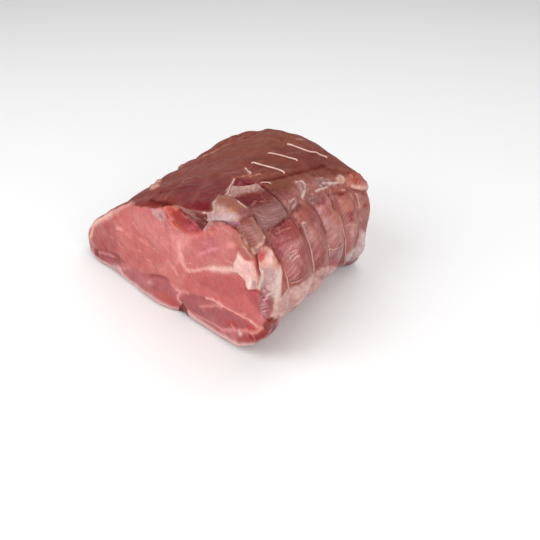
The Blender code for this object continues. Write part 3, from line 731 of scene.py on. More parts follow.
PALE_LINES = (
    # colour, width, strength, marks
    ((242, 168, 158), 1.9, 0.9, ((179, 244), (180, 251), (181, 258), (183, 264))),
    ((236, 160, 152), 1.12, 1.0, ((180, 257), (183, 264), (186, 269), (190, 271))),
    ((234, 166, 160), 1.0, 1.0, ((189, 271), (196, 270.5), (205, 269), (214, 268.5))),
    ((242, 190, 180), 1.88, 1.0, ((211, 268.7), (220, 269), (230, 269.8), (238, 269))),
    ((230, 150, 146), 0.62, 0.69, ((183, 263), (191, 263.5))),
    ((224, 140, 148), 1.0, 0.92, ((198, 255), (205, 252), (212, 250), (217, 249))),
    ((236, 154, 142), 1.75, 0.8, ((229, 245), (233, 245))),
    ((226, 142, 138), 1.0, 0.57, ((226, 260), (233, 263))),
    ((224, 146, 134), 0.88, 0.57, ((214, 227), (224, 229), (232, 233))),
    ((234, 154, 150), 1.12, 1.0, ((117, 228), (123, 229.5))),
    ((212, 120, 116), 1.5, 0.69, ((124, 231), (130, 235), (136, 240))),
    ((224, 138, 132), 1.0, 0.92, ((140, 240), (144, 242), (148, 245))),
    ((216, 130, 126), 1.12, 0.69, ((150, 230), (160, 240), (168, 250))),
    ((228, 142, 136), 1.25, 0.98, ((168, 262), (172, 267), (176, 273))),
    ((218, 134, 128), 1.12, 0.57, ((148, 262), (154, 268))),
    ((226, 148, 142), 1.1, 0.75, ((168, 278), (172, 284), (177, 289), (181, 291.5), (188, 293))),
    ((230, 160, 160), 0.95, 1.0, ((176, 289), (181, 291), (178.5, 295), (178.5, 299), (181, 303))),
    ((222, 176, 176), 1.5, 1.0, ((184, 306), (187, 311), (191, 315), (197, 321))),
    ((246, 198, 194), 1.7, 1.0, ((190, 314), (197, 319), (210, 328), (222, 336), (240, 345.5),
     (255, 345.5))),
    ((204, 140, 134), 0.6, 0.8, ((279.5, 318), (278, 324), (273, 330.5), (265, 337), (257, 342))),
    ((240, 168, 158), 0.75, 1.0, ((206, 298), (213, 299.5), (217, 302), (221, 305))),
    ((240, 164, 154), 0.65, 1.0, ((220, 304), (228, 308.5), (236, 313), (242, 316), (247, 319),
     (252, 322))),
    ((244, 176, 164), 0.8, 1.0, ((251, 321.5), (257, 326))),
    ((236, 166, 158), 1.62, 0.92, ((219, 304), (221, 305))),
    ((214, 140, 136), 0.88, 0.92, ((200, 307), (208, 306), (216, 306), (220, 305))),
    ((224, 150, 148), 1.0, 1.0, ((196, 316), (203, 318), (210, 322), (217, 326), (223, 329.5))),
    ((228, 152, 150), 1.12, 1.0, ((222, 329.5), (228, 330), (234, 330))),
    ((226, 150, 146), 0.75, 0.92, ((232, 326), (235, 329))),
    ((246, 196, 192), 1.5, 1.0, ((239, 331.5), (240, 333.5))),
    ((222, 144, 136), 1.0, 1.0, ((241, 331), (247, 331), (252, 333.5), (257, 333), (260, 329), (262, 327))),
    ((212, 140, 140), 0.85, 0.8, ((99, 252.5), (105, 253.5), (114, 256.5))),
    ((218, 150, 150), 1.75, 0.92, ((149, 283), (151, 283))),
    ((208, 134, 132), 1.5, 0.8, ((124, 267), (130, 267))),
    ((246, 204, 196), 1.3, 1.0, ((118.5, 267.5), (121.5, 271), (124, 275.5), (128.5, 280.5))),
    ((232, 170, 164), 0.9, 0.6, ((119, 267.5), (125, 268.5))),
    ((206, 128, 126), 1.0, 0.7, ((106, 219), (112, 217), (118, 215))),
    ((190, 88, 84), 1.4, 0.6, ((114, 218), (119, 216.5), (124, 216))),
    ((242, 192, 190), 1.8, 1.0, ((125, 280), (140, 289), (152, 297.5), (164, 305), (175, 311.5),
     (184, 314))),
    ((222, 174, 174), 2.0, 1.0, ((93, 256), (99, 262), (108, 267), (117, 268))),
    ((240, 182, 164), 1.25, 1.0, ((90, 239), (92, 232), (93.5, 226), (97, 221.5))),
    ((238, 184, 168), 1.8, 1.0, ((96, 223), (104, 217.5), (112, 213))),
    ((224, 160, 150), 1.8, 0.9, ((112, 213), (121, 208), (130, 204))),
    ((204, 138, 134), 1.25, 0.92, ((88, 228), (88, 234), (90, 241), (94, 246), (93, 252))),
)

FACE = (
    (80, 238), (90, 224), (97, 219), (104, 214.5), (112, 210.5), (121, 205.5), (129, 204), (135, 206),
    (147, 207), (153, 208.5), (165, 207), (172, 206), (180, 210), (190, 213), (204, 214), (210, 216),
    (213, 221), (222, 222.5), (230, 226), (236, 230), (241, 236), (246, 243), (250, 250), (255, 258),
    (258, 270), (260, 285), (262, 300), (262, 315), (268, 322), (278, 315), (284, 330), (264, 352),
    (240, 356), (180, 330), (110, 290), (80, 262),
)

FACE_PATCHES = (
    (9, 4, (2, 1, 1), 0.0, 0.9, (224, 140, 134), 0.2),
    (7, 5, (2, 1, 1), 0.1, 0.9, (176, 84, 84), 0.2),
)
FACE_LUMPS = ((0.28, 9, 6), (0.12, 3, 7))
FACE_STROKES = (
    # painted shade in a hollow of the lower seam, and a small ring of sinew
    (area, 0.8, (128, 22, 34), 1.0, 0.0, 0.9, ((180, 307), (183, 303), (187.5, 309), (189, 316),
     (180, 315))),
    (line, 0.45, (230, 156, 146), 0.9, None, 0.2, ((242, 314.5), (244, 312.8), (246, 314.5), (244, 316.3),
     (242, 314.5))),
)
FACE_LEAN = (203, 114, 111)
FLECKS = 46
# Where the flecks start across and down, how far apart they are in turn, and over what reach.
FLECK_PLACES = ((108, 37, 118), (216, 23, 58))
PALE_FLECK = (236, 160, 152)
DARK_FLECK = (172, 84, 86)
RIM_FAT = (240, 192, 190)
RIM_BETWEEN = (2.0, 3.0)
RIM_TOP = 5.2
RIM_DEPTH = 12
RIM_GAP_AT = 22
RIM_GAP = 4
CORNER_SHAPING = ((-2.6, 5.0, ((281, 328), (285, 322), (296, 312))),)

cut_face = area(FACE, 0.5)
rim = ease(spots[:, 2], *RIM_BETWEEN) * ease(RIM_TOP - spots[:, 2], 0, 1.6)
rim *= ease(-facing[:, 1], 0.1, 0.4) * ease(RIM_DEPTH - spots[:, 1], 0, 4)
rim *= 1 - hump(spots[:, 0] - RIM_GAP_AT, RIM_GAP)

paint(cut_face, FACE_LEAN, fatty=0.0)
paint_areas(FACE_AREAS)
paint(rim, RIM_FAT, 0.8, fatty=0.8)
patches(cut_face, FACE_PATCHES)
for colour, width, strength, marks, depth in DARK_LINES:
    paint(line(marks, width), colour, strength, raised=-depth)
paint_lines(PALE_LINES, fatty=0.8, raised=0.12)
draw(FACE_STROKES)
for k in range(FLECKS):
    across, down = [start + k * apart % reach for start, apart, reach in FLECK_PLACES]
    fleck = line(((across, down), (across + 2 + k % 3, down + 2 + k % 4)), 0.5) * cut_face
    paint(fleck, PALE_FLECK if k % 3 else DARK_FLECK, 0.5)
roughen(cut_face, FACE_LUMPS)
reshape(CORNER_SHAPING)

# The fat and silverskin at the right of the cut face
# Soft white fat fills the gap between the muscles there. Beside it a sheet of silverskin, with a
# lobe of fat on it, runs down to the floor. A crease, darkened with painted shade, parts the two.
FAT_BODY = (
    (235, 263), (238, 255), (239, 251), (242, 257), (246, 261), (250, 262), (254, 262), (256, 270),
    (258, 278), (258, 288), (251, 289), (247, 286), (246, 281), (243, 277), (239, 273), (234, 271),
)
SILVERSKIN = (
    (259, 262), (264, 264), (272, 266), (279, 264), (282, 272), (281, 283), (280, 294), (278, 306),
    (277, 317), (274, 318), (274, 306), (273, 295), (264, 296), (260, 288), (259, 276),
)
THIN_SKIN = ((259, 292), (273, 291), (275, 302), (275, 313), (270, 319), (264, 319), (260, 308))
FAT_LOBE = (
    (258, 258), (262, 249), (267, 245.5), (271, 248), (274, 254), (277, 262), (275, 267), (266, 268),
    (260, 265),
)
SILVER_AREAS = (
    ((194, 158, 154), 1.0, ((260, 266), (272, 268), (279, 268), (280, 282), (277, 291), (270, 291),
     (263, 290), (259, 283))),
    ((166, 98, 98), 1.0, ((260, 294), (265, 291), (268, 296), (263, 298))),
)
SILVER_LINES_AND_SHADE = (
    ((236, 206, 194), 0.8, 0.9, ((260, 267), (263, 272), (264, 277), (261, 283), (259, 288))),
    # Painted shade along a fold of the silverskin.
    ((170, 134, 134), 0.7, 0.5, ((267, 268), (265, 274), (266, 282), (265, 287))),
    ((216, 188, 182), 0.8, 0.5, ((269, 270), (270, 278), (273, 287), (274, 294))),
    # Painted shade along a fold of the silverskin.
    ((184, 150, 148), 0.7, 0.4, ((272, 270), (273, 278), (275, 286))),
    ((222, 188, 174), 1.3, 0.9, ((279, 268), (279, 277), (278, 285), (276, 293))),
    ((212, 178, 164), 1.1, 0.9, ((276, 292), (276, 302), (275, 309), (272, 315))),
    ((134, 84, 92), 0.5, 0.85, ((264, 298), (266, 294), (270, 291))),
    ((134, 84, 92), 0.5, 0.85, ((267, 300), (269, 296), (273, 293))),
    ((134, 88, 96), 0.45, 0.7, ((269, 302), (273, 298))),
    ((120, 72, 82), 0.8, 0.9, ((265, 285), (266, 288))),
    ((224, 200, 190), 2.2, 0.8, ((276, 270), (277, 278), (277, 286), (275, 294))),
    ((186, 150, 148), 1.4, 0.5, ((269, 270), (270, 278), (269, 286))),
    ((120, 70, 76), 0.6, 0.8, ((263, 288), (262, 293))),
    ((214, 172, 168), 0.5, 0.8, ((265, 300), (268, 295), (272, 291.5))),
)

FAT_STROKES = (
    (area, 0.8, (240, 194, 185), 0.97, 1.0, 1.0, FAT_BODY),
    (area, 1.5, (238, 180, 180), 0.7, ((244, 262), (250, 264), (252, 276), (247, 276), (242, 268))),
    (area, 0.8, (178, 142, 143), 0.85, None, -0.5, ((252, 279), (257, 280), (258, 288), (253, 287))),
    (line, 0.6, (250, 220, 206), 0.9, None, 0.5, ((252, 277), (251, 283), (250, 288))),
    (line, 1.0, (248, 214, 202), 0.6, ((240, 256), (244, 262))),
    (line, 0.9, (216, 160, 152), 0.6, None, -0.4, ((252, 262), (254, 270), (256, 278))),
    (area, 1.5, (164, 104, 108), 0.95, 0.3, 0.3, THIN_SKIN),
    (area, 1.1, (202, 162, 157), 0.95, 0.8, 0.5, SILVERSKIN),
)
LOBE_HIGHLIGHT_AND_SHADE_STROKES = (
    (area, 1.1, (222, 168, 158), 0.95, 0.8, 0.7, FAT_LOBE),
    # A painted highlight in the middle of the lobe.
    (area, 1.8, (232, 188, 178), 0.75, None, 0.3, ((265, 252), (270, 249), (273, 255), (272, 264),
     (269, 268), (266, 262))),
    (area, 1.4, (190, 92, 94), 0.95, 0.1, ((258, 259), (259.5, 252), (263, 248.5), (266, 251), (265, 257),
     (262, 262))),
    (line, 1.0, (246, 208, 198), 0.8, ((269, 248), (271, 255), (270, 262))),
    # Painted shade along the lobe's upper right edge.
    (line, 1.1, (190, 104, 84), 0.9, 0.2, ((268, 247), (272, 250), (275, 256), (278, 264))),
    (line, 1.3, (222, 148, 126), 0.8, ((273, 257), (276, 263), (276, 268))),
    # Painted shade in the crease between the fat and the lobe, sunk into the surface.
    (line, 0.9, (158, 84, 78), 0.9, None, -1.6, ((255, 249), (256, 257), (258, 266), (259, 274))),
    # Painted shade above the lobe.
    (area, 0.9, (146, 66, 64), 0.9, None, -0.6, ((262, 235), (268, 240), (275, 248), (280, 258),
     (279, 264), (275, 255), (270, 247), (263, 245))),
    (area, 1.2, (180, 100, 96), 0.95, 0.0, ((279, 262), (282, 265), (285, 272), (288, 282), (287, 289),
     (281, 296), (281.5, 286), (282.5, 274))),
    (line, 0.5, (120, 44, 48), 0.6, ((283, 276), (284, 284), (283, 291))),
)
RIDGES_LEFT = 260.5
RIDGES_DOWN = np.arange(297, 318, 1.9)
RIDGE = (216, 166, 166)

draw(FAT_STROKES)
paint_areas(SILVER_AREAS)
paint_lines(SILVER_LINES_AND_SHADE, raised=0.25)
for k, down in enumerate(RIDGES_DOWN):
    start = (RIDGES_LEFT + 1.5 * (k * 3 % 2), down + 0.5 * (k % 2))
    dashes((start,), (2.5 + 2.0 * (k * 5 % 3), -1.2), 0.35, RIDGE, 0.75, None, 0.15)
draw(LOBE_HIGHLIGHT_AND_SHADE_STROKES)

# The small muscle between the cut face and the first loop
# It folds over the shoulder, tan and wrinkled across, and ends in a pale rounded tip.
FOLD = (
    (240, 224), (246, 219.5), (253, 216.5), (258, 224), (262, 231), (265, 238), (263, 243), (259, 248),
    (255, 251), (250, 247), (246, 240), (240, 232), (237, 227),
)
WRINKLES = 7
WRINKLES_FROM = (239.5, 228)
WRINKLE_STEP = (1.9, 2.7)
WRINKLE_GAP = 1.35
WRINKLE_CREST_HIGHLIGHT = (180, 130, 122)
WRINKLE_DIP_SHADE = (132, 80, 80)

FOLD_STROKES = (
    (area, 0.7, (154, 105, 99), 0.97, 0.2, 0.6, FOLD),
    (area, 1.5, (174, 124, 107), 0.8, ((250, 217), (254, 217), (259, 225), (264, 236), (262, 242),
     (257, 238), (254, 228))),
    (area, 0.8, (190, 138, 110), 0.8, ((243, 239), (247, 239), (249, 246), (245, 246))),
    (area, 1.5, (148, 88, 80), 0.7, ((240, 219), (248, 218), (250, 223), (243, 226))),
    (area, 1.5, (152, 98, 96), 0.7, ((243, 232), (249, 229), (252, 238), (249, 243))),
)
TIP_STROKES = (
    (line, 1.0, (214, 166, 152), 0.9, 0.8, 0.5, ((264, 237), (263, 241.5), (259, 246.5), (255, 250))),
    (area, 1.0, (180, 140, 132), 0.8, ((252, 248), (258, 248), (261, 251), (257, 255), (253, 253))),
    (line, 0.8, (134, 72, 72), 0.8, None, -0.5, ((236, 228), (240, 233.5), (245, 238.5), (250, 245))),
)
CRUMBS = (
    # torn scraps where the fold meets the cut face: colour, width, strength, marks
    ((150, 96, 80), 0.8, 0.85, ((238, 230), (241, 233))),
    ((206, 150, 136), 0.8, 0.85, ((240, 235), (243, 236.5))),
    ((146, 88, 74), 0.8, 0.85, ((242, 238), (245, 241), (245, 244))),
    ((212, 160, 146), 0.8, 0.85, ((245, 239), (247, 243))),
    ((158, 104, 88), 0.8, 0.85, ((246, 245), (249, 248))),
    ((214, 166, 150), 0.8, 0.85, ((244, 246), (248, 250))),
    ((148, 92, 78), 0.8, 0.85, ((250, 250), (252, 254))),
    ((208, 156, 142), 0.8, 0.85, ((248, 252), (251, 256))),
    ((222, 176, 162), 0.8, 0.85, ((253, 249), (255, 254))),
)

draw(FOLD_STROKES)
# Each wrinkle gets a painted highlight along its crest and painted shade in the dip below, with a little
# relief.
for k in range(WRINKLES):
    across, down = [start + step * k for start, step in zip(WRINKLES_FROM, WRINKLE_STEP)]
    middle = (across + 3 + k % 3, down - 1.6)
    end = (across + 7 + k * 2 % 3, down - 2.4 - 0.4 * (k % 3))
    paint(line(((across, down), middle, end), 0.5), WRINKLE_CREST_HIGHLIGHT, 0.6, raised=0.2)
    below = ((across, down + WRINKLE_GAP), (middle[0], middle[1] + WRINKLE_GAP))
    paint(line(below, 0.5), WRINKLE_DIP_SHADE, 0.45, raised=-0.2)
draw(TIP_STROKES)
paint_lines(CRUMBS, raised=0.5)

# The red flap and the recess at the top of the cut face
# A bright, wet scrap of muscle curls out of a dark red recess. A grey patch of membrane lies to
# its left, and a pale strand runs along the edge above. Painted shade darkens the deepest part of
# the recess and the strip under the strand.
RED_HOLLOW = (
    (164, 207), (169, 204.5), (176, 207.5), (187, 212), (198, 214), (211, 216), (210, 222), (206, 229),
    (198, 232.5), (188, 232), (180, 230.5), (173, 226), (169, 220), (166, 213),
)

RED_FLAP_STROKES = (
    (area, 0.9, (158, 76, 74), 0.96, 0.0, RED_HOLLOW),
    # Painted shade: a brown strip under the pale strand, then the deepest part of the recess.
    (area, 1.4, (112, 66, 60), 0.9, None, -0.8, ((180, 210), (190, 213), (200, 215), (210, 217.5),
     (208, 223), (198, 222), (188, 218))),
    (area, 1.2, (122, 46, 58), 0.9, None, -0.9, ((198, 221), (206, 221), (209, 222), (206, 228),
     (202, 231), (199, 227))),
    (area, 1.4, (184, 84, 98), 0.8, ((184, 224), (192, 223), (198, 227), (194, 232), (187, 231))),
    (area, 1.4, (160, 72, 70), 0.85, ((173, 209), (180, 212), (188, 218), (190, 224), (184, 225),
     (176, 219))),
    (line, 1.1, (228, 136, 120), 0.9, None, 0.7, ((165.5, 208), (168, 211), (171, 216.5), (173, 219))),
    (line, 1.2, (216, 122, 106), 0.85, None, 0.5, ((168, 206), (172, 206.5), (176, 208.5))),
    (line, 1.3, (198, 90, 78), 0.8, None, 0.4, ((169, 209), (172, 214))),
    (line, 1.7, (200, 96, 80), 0.85, None, 0.4, ((172, 221), (175, 225), (180, 229), (184, 230.5))),
    (line, 1.0, (196, 72, 58), 0.8, ((172, 221.5), (174, 223))),
    (line, 0.8, (232, 150, 136), 0.8, ((169, 219), (172, 224), (177, 229))),
    (line, 0.9, (196, 92, 92), 0.7, ((186, 232), (194, 233.5), (202, 231.5))),
)
RIM_STROKES = (
    (area, 0.8, (206, 150, 149), 0.95, 0.8, 0.5, ((151, 208.5), (158, 209), (164, 210), (166, 214),
     (166, 220), (162, 222), (157, 217), (153, 214))),
    (line, 1.2, (148, 84, 98), 0.85, None, -0.3, ((161, 215), (163, 217))),
    (line, 0.6, (190, 134, 128), 0.85, None, 0.6, ((172, 205), (180, 207.5), (187, 210), (198, 212),
     (206, 213.5), (213, 214.5))),
    (line, 0.8, (190, 140, 136), 0.7, None, 0.3, ((182, 209.5), (187, 212), (193, 212.5))),
    (line, 0.8, (242, 204, 192), 0.95, None, 0.4, ((203, 213), (213, 214.5))),
    (area, 0.7, (202, 148, 141), 0.95, 0.8, 1.0, ((208, 217), (215, 218.5), (214, 224), (209, 229),
     (204, 231), (205, 226), (207, 221))),
    (line, 0.5, (168, 106, 104), 0.7, None, -0.5, ((213, 221), (210, 225), (206, 229))),
    (line, 0.5, (226, 180, 172), 0.8, None, 0.3, ((210, 219), (207, 225), (205, 230))),
)
PALE_SHREDS = (
    ((190, 214.5), (193, 217), (186, 216), (197, 219), (191, 226), (188, 228), (195, 224), (203, 218)),
    (2.5, 1.2), 0.5, (176, 122, 110), 0.6, None, 0.2,
)
# Painted shade in the gaps between the shreds.
SHADED_GAPS = (
    ((184, 213), (196, 222), (200, 225), (188, 221), (204, 223)),
    (2, 2), 0.6, (104, 38, 44), 0.6, None, -0.3,
)

draw(RED_FLAP_STROKES)
dashes(*PALE_SHREDS)
dashes(*SHADED_GAPS)
draw(RIM_STROKES)

# The flap of fat on the front hump
# A trimmed sheet of fat and membrane lies over the hump, tan where it dried and white where it
# is thick. Its lower edge is free. A band of fat and a red pocket are behind it.
FLAP = (
    (221, 196), (225, 197), (231, 198.5), (237, 201.5), (243, 205), (249, 210), (254, 215), (247, 217),
    (241, 218.5), (240, 223), (233, 222), (224, 220.5), (214, 219), (208, 219.5), (211, 214.5), (217, 210),
    (218, 206.5), (215, 204.5), (218, 199.5),
)
FAT_BAND = (
    (225, 195), (227, 190), (230, 185), (236, 186.5), (244, 187), (252, 185.5), (258, 185), (261, 187),
    (258, 192), (253, 192), (248, 192.5), (240, 194.5), (234, 197), (230, 197),
)
POCKET = (
    (231, 184.5), (234, 180), (241, 178), (250, 178.5), (254, 181), (253, 185), (244, 187), (236, 186.5),
)
BETWEEN = (
    (229, 198), (236, 196), (246, 195), (254, 193), (260, 194), (261, 200), (257, 204), (252, 208),
    (247, 207), (241, 203), (235, 200),
)

FLAP_STROKES = (
    (area, 0.8, (122, 70, 72), 0.95, 0.0, -0.8, BETWEEN),
    (line, 0.6, (168, 118, 112), 0.85, None, 0.4, ((256, 200), (253, 204), (249, 206.5), (246, 206))),
    (area, 0.6, (182, 142, 136), 0.97, 0.8, 1.7, FLAP),
    (line, 2.6, (158, 104, 88), 0.9, 0.3, ((223, 202), (230, 205), (238, 209), (245, 213.5))),
    (area, 2.0, (157, 107, 97), 0.95, 0.1, ((217, 199), (222, 197), (231, 199), (243, 205), (254, 213),
     (249, 218), (241, 218), (233, 216), (229, 212), (222, 210), (219, 205))),
    (line, 2.2, (184, 122, 92), 0.85, 0.2, ((232, 213), (238, 215))),
    (line, 2.0, (212, 176, 164), 0.7, ((221, 211), (227, 215), (234, 219))),
    (line, 1.3, (218, 182, 170), 0.9, None, 0.6, ((214, 203), (215.5, 207), (216, 211))),
    (line, 1.4, (196, 164, 166), 0.9, None, 0.3, ((212, 216), (220, 217), (229, 218), (238, 218.5))),
    (line, 0.8, (188, 150, 144), 0.6, None, -0.3, ((214, 210), (221, 213), (229, 214))),
    (line, 0.9, (196, 146, 132), 0.8, None, 0.4, ((219, 196), (216, 200), (214, 203))),
    (line, 0.7, (208, 176, 178), 0.8, None, 0.4, ((212, 217), (222, 218.5), (232, 219.5))),
    (line, 0.7, (168, 122, 136), 0.6, None, -0.7, ((220, 221), (228, 223.5), (236, 225.5), (240, 226))),
    (line, 0.45, (196, 146, 168), 0.7, None, 0.4, ((228, 223), (234, 224), (240, 223.5))),
    (line, 0.6, (206, 150, 140), 0.7, ((212, 221), (218, 222), (224, 223))),
)
BAND_STROKES = (
    (area, 1.5, (152, 98, 98), 0.8, ((238, 213), (246, 211), (253, 214), (250, 218), (242, 220),
     (238, 218))),
    (area, 0.7, (178, 136, 128), 0.97, 1.0, 0.8, FAT_BAND),
)
POCKET_STROKES = (
    (line, 1.0, (198, 160, 148), 0.8, None, 0.3, ((229, 189), (236, 190), (246, 189.5), (254, 188))),
    (line, 0.7, (204, 160, 150), 0.7, ((226, 195), (230, 190), (236, 188))),
    (line, 0.6, (140, 112, 116), 0.6, None, -0.4, ((248, 191), (254, 192), (258, 189))),
    (line, 0.8, (176, 140, 146), 0.8, None, 0.3, ((257, 187), (261, 189), (263, 190))),
    (area, 0.7, (140, 78, 82), 0.97, 0.0, -1.2, POCKET),
    (line, 1.0, (108, 40, 48), 0.9, None, -0.6, ((240, 184.5), (246, 184), (250, 182))),
    (line, 0.8, (166, 104, 110), 0.7, ((240, 180), (239, 183))),
    (line, 0.7, (172, 112, 92), 0.95, 0.5, 0.9, ((238, 177.5), (245, 176.5), (252, 177), (260, 175.2))),
    (line, 0.5, (204, 154, 134), 0.8, ((256, 176), (260, 175.2))),
    (line, 0.6, (194, 142, 136), 0.95, 0.8, 0.3, ((234, 179), (231, 184), (227, 190), (225, 195))),
    (line, 0.6, (150, 96, 80), 0.8, ((259, 185), (263, 183), (269, 182.5), (273, 184.5))),
    (line, 0.7, (204, 152, 140), 0.9, 0.8, 0.7, ((245, 169), (247, 171), (250, 175))),
)
EDGE_NICKS = (
    [(211 + 3.1 * k, 217.9 + k * 5 % 3 * 0.8) for k in range(9)],
    (2.5, -3.4), 0.4, (212, 184, 182), 0.45, None, 0.2,
)
BAND_RIDGES = ([(231 + 4.4 * k, 192.5 - k % 2) for k in range(6)], (1.5, -4.5), 0.5, (206, 172, 162), 0.6)

draw(FLAP_STROKES)
dashes(*EDGE_NICKS)
draw(BAND_STROKES)
dashes(*BAND_RIDGES)
draw(POCKET_STROKES)

# The knob at the back of the right side
# A glossy lump of pink flesh and fat stands out at the end of the crease.
KNOB = (
    (343, 181), (347, 176), (353, 173.5), (359, 174), (365, 174), (369, 179), (371, 185), (369, 191),
    (363, 193), (355, 190), (347, 190),
)

KNOB_STROKES = (
    (area, 1.0, (163, 88, 76), 0.95, 0.5, 0.6, KNOB),
    (area, 1.5, (176, 101, 84), 0.8, None, 0.8, ((344, 179), (352, 178), (353, 187), (346, 188))),
    (area, 1.2, (187, 122, 112), 0.8, None, 0.8, ((360, 182), (368, 182), (369, 190), (362, 190))),
    (line, 0.9, (160, 84, 74), 0.7, None, -0.9, ((354, 176), (357, 181), (357, 187))),
    (area, 1.2, (164, 84, 80), 0.9, None, -0.4, ((356, 175), (364, 175), (367, 180), (361, 181))),
    # A painted highlight across the lower part of the knob.
    (line, 1.3, (236, 188, 178), 0.85, None, 0.6, ((352, 186.5), (359, 187.5), (366, 188.5))),
    (line, 0.8, (142, 80, 70), 0.7, None, -1.0, ((348, 190.5), (356, 191), (364, 193))),
    (line, 1.8, (150, 92, 84), 0.6, None, -2.2, ((365, 192.5), (369, 193.5))),
    (line, 3.2, (170, 112, 104), 0.3, None, -2.6, ((362, 226), (366, 227.5))),
)

draw(KNOB_STROKES)

# The finish of the meat
# All that was drawn above goes onto the mesh: the relief along the surface, and the tint and the
# fat as attributes that the material reads. The pork is wet on its cuts and dry on top.
ARCS = (
    # the middle of the arcs that the fibres follow, the muscle's outline, how close they lie, how strong
    ((269, 194), UPPER_MUSCLE, 0.55, 0.12),
    ((224, 188), FOLD, 1.3, 0.16),
)
# Painted shade: dark lines along the grooves of the loops and the crease, most of them sunk.
GROOVES = (
    # line, width, colour, strength, fattiness, rise, marks
    (line, 1.0, (92, 44, 44), 0.85, 0.0, -1.6, ((250, 211), (254, 217), (258, 224), (263, 231.5), (268, 238),
     (273, 245))),
    (line, 0.8, (98, 52, 50), 0.85, 0.0, -1.0, ((262, 186.5), (270, 191.5), (278, 199), (284, 205),
     (289, 214))),
    (line, 0.8, (124, 68, 62), 0.85, 0.0, -0.5, ((290, 216), (296, 219), (300, 226), (303, 234))),
    (line, 0.7, (120, 70, 66), 0.85, 0.0, 0.0, ((311, 205), (317, 212), (321, 221), (325, 233),
     (326.5, 246))),
    (line, 1.0, (104, 48, 48), 0.85, 0.0, -1.0, ((329, 195), (332, 201), (335, 208))),
    (line, 1.0, (140, 62, 58), 0.85, 0.0, -0.8, ((273, 245), (277, 252), (281, 260))),
)
FAT_PATCHES = (
    (2.5, 21, (1, 1, 1), 0.0, 0.8, (228, 192, 182), 0.35, None, 0.15),
    (3, 22, (1, 1, 1), 0.1, 0.8, (172, 114, 106), 0.3),
)
# The shine of the wet skin is taken off the tints, and the light that the pale floor throws back
# at the foot of the meat.
SHINE = 0.048
BRIGHTNESS = 1.13
FLOOR_LIGHT = 0.22
FLOOR_LIGHT_UP_TO = 30
DARKEST = 0.004
ARC_STRANDS = 0.65
FAT_SMOOTHS = 0.8
CUT_FAT_EVEN = 0.7
FLAT_FOOT = (0.2, 2.5)

draw(GROOVES)
patches(fat * (1 - CUT_FAT_EVEN * cut_face), FAT_PATCHES)
relief *= ease(spots[:, 2], *FLAT_FOOT)
move(meat, relief)
alone(meat)
bpy.ops.object.shade_smooth()


def keep_values(name, values):
    """Gives the meat an attribute with one value for each corner."""
    attribute = meat.data.attributes.new(name, "FLOAT", "POINT")
    attribute.data.foreach_set("value", values.astype(np.float32))


on_cuts = np.clip(cut_face + on_back, 0, 1)
lean_share = 1 - np.clip(fat, 0, 1) * FAT_SMOOTHS
strands = 0.6 + 0.15 * on_right - 0.5 * on_cuts
# threads: how strongly pale threads show; on the side and in the arcs they are partly painted highlights
# along the fibres.
threads = 0.2 * on_right + 0.03 * (1 - on_right) * (1 - on_cuts)
for hub, marks, packing, strength in ARCS:
    strands = np.maximum(strands, ARC_STRANDS * area(marks, 0.8))
    threads = np.maximum(threads, strength * area(marks, 0.8))
keep_values("fat", np.clip(fat, 0, 1))
keep_values("dry", (1 - cut_face) * (1 - on_back) * (1 - on_right))
keep_values("threads", threads)
keep_values("strands", strands * lean_share)

brightness = BRIGHTNESS + FLOOR_LIGHT * ease(FLOOR_LIGHT_UP_TO - spots[:, 2], 0, FLOOR_LIGHT_UP_TO)
tint = np.clip((tint - SHINE) / brightness[:, None], DARKEST, 1)
colours = meat.data.color_attributes.new("tint", "FLOAT_COLOR", "POINT")
colours.data.foreach_set("color", np.c_[tint, np.ones(len(tint))].reshape(-1))

# Fibres run along the first number of the grain. The others count across them.
SLANT = np.radians(38)
ALONG = 0.14
ACROSS = 1.1
APART = (40, 80, 200)

x, y, z = spots.T
along, across = y * np.cos(SLANT) + z * np.sin(SLANT), z * np.cos(SLANT) - y * np.sin(SLANT)
face_grain = np.stack([x * 0.1 - z * 0.03, z * 0.3 + x * 0.09, y * 0.2], axis=1)
top_grain = np.stack([y * ALONG + x * 0.06, x * ACROSS + APART[0], z], axis=1)
side_grain = np.stack([along * ALONG, across * ACROSS + APART[1], x * 0.5], axis=1)
grain = top_grain + (side_grain - top_grain) * on_right[:, None]
grain = grain + (face_grain - grain) * on_cuts[:, None]
for hub, marks, packing, strength in ARCS:
    spoke = picture - hub
    arc_grain = np.stack([spoke[:, 0] * 0.05, np.linalg.norm(spoke, axis=1) * packing, z * 0.02], axis=1)
    grain = grain + (arc_grain + APART[2] - grain) * area(marks, 0.5)[:, None]
vectors = meat.data.attributes.new("grain", "FLOAT_VECTOR", "POINT")
vectors.data.foreach_set("vector", grain.astype(np.float32).reshape(-1))


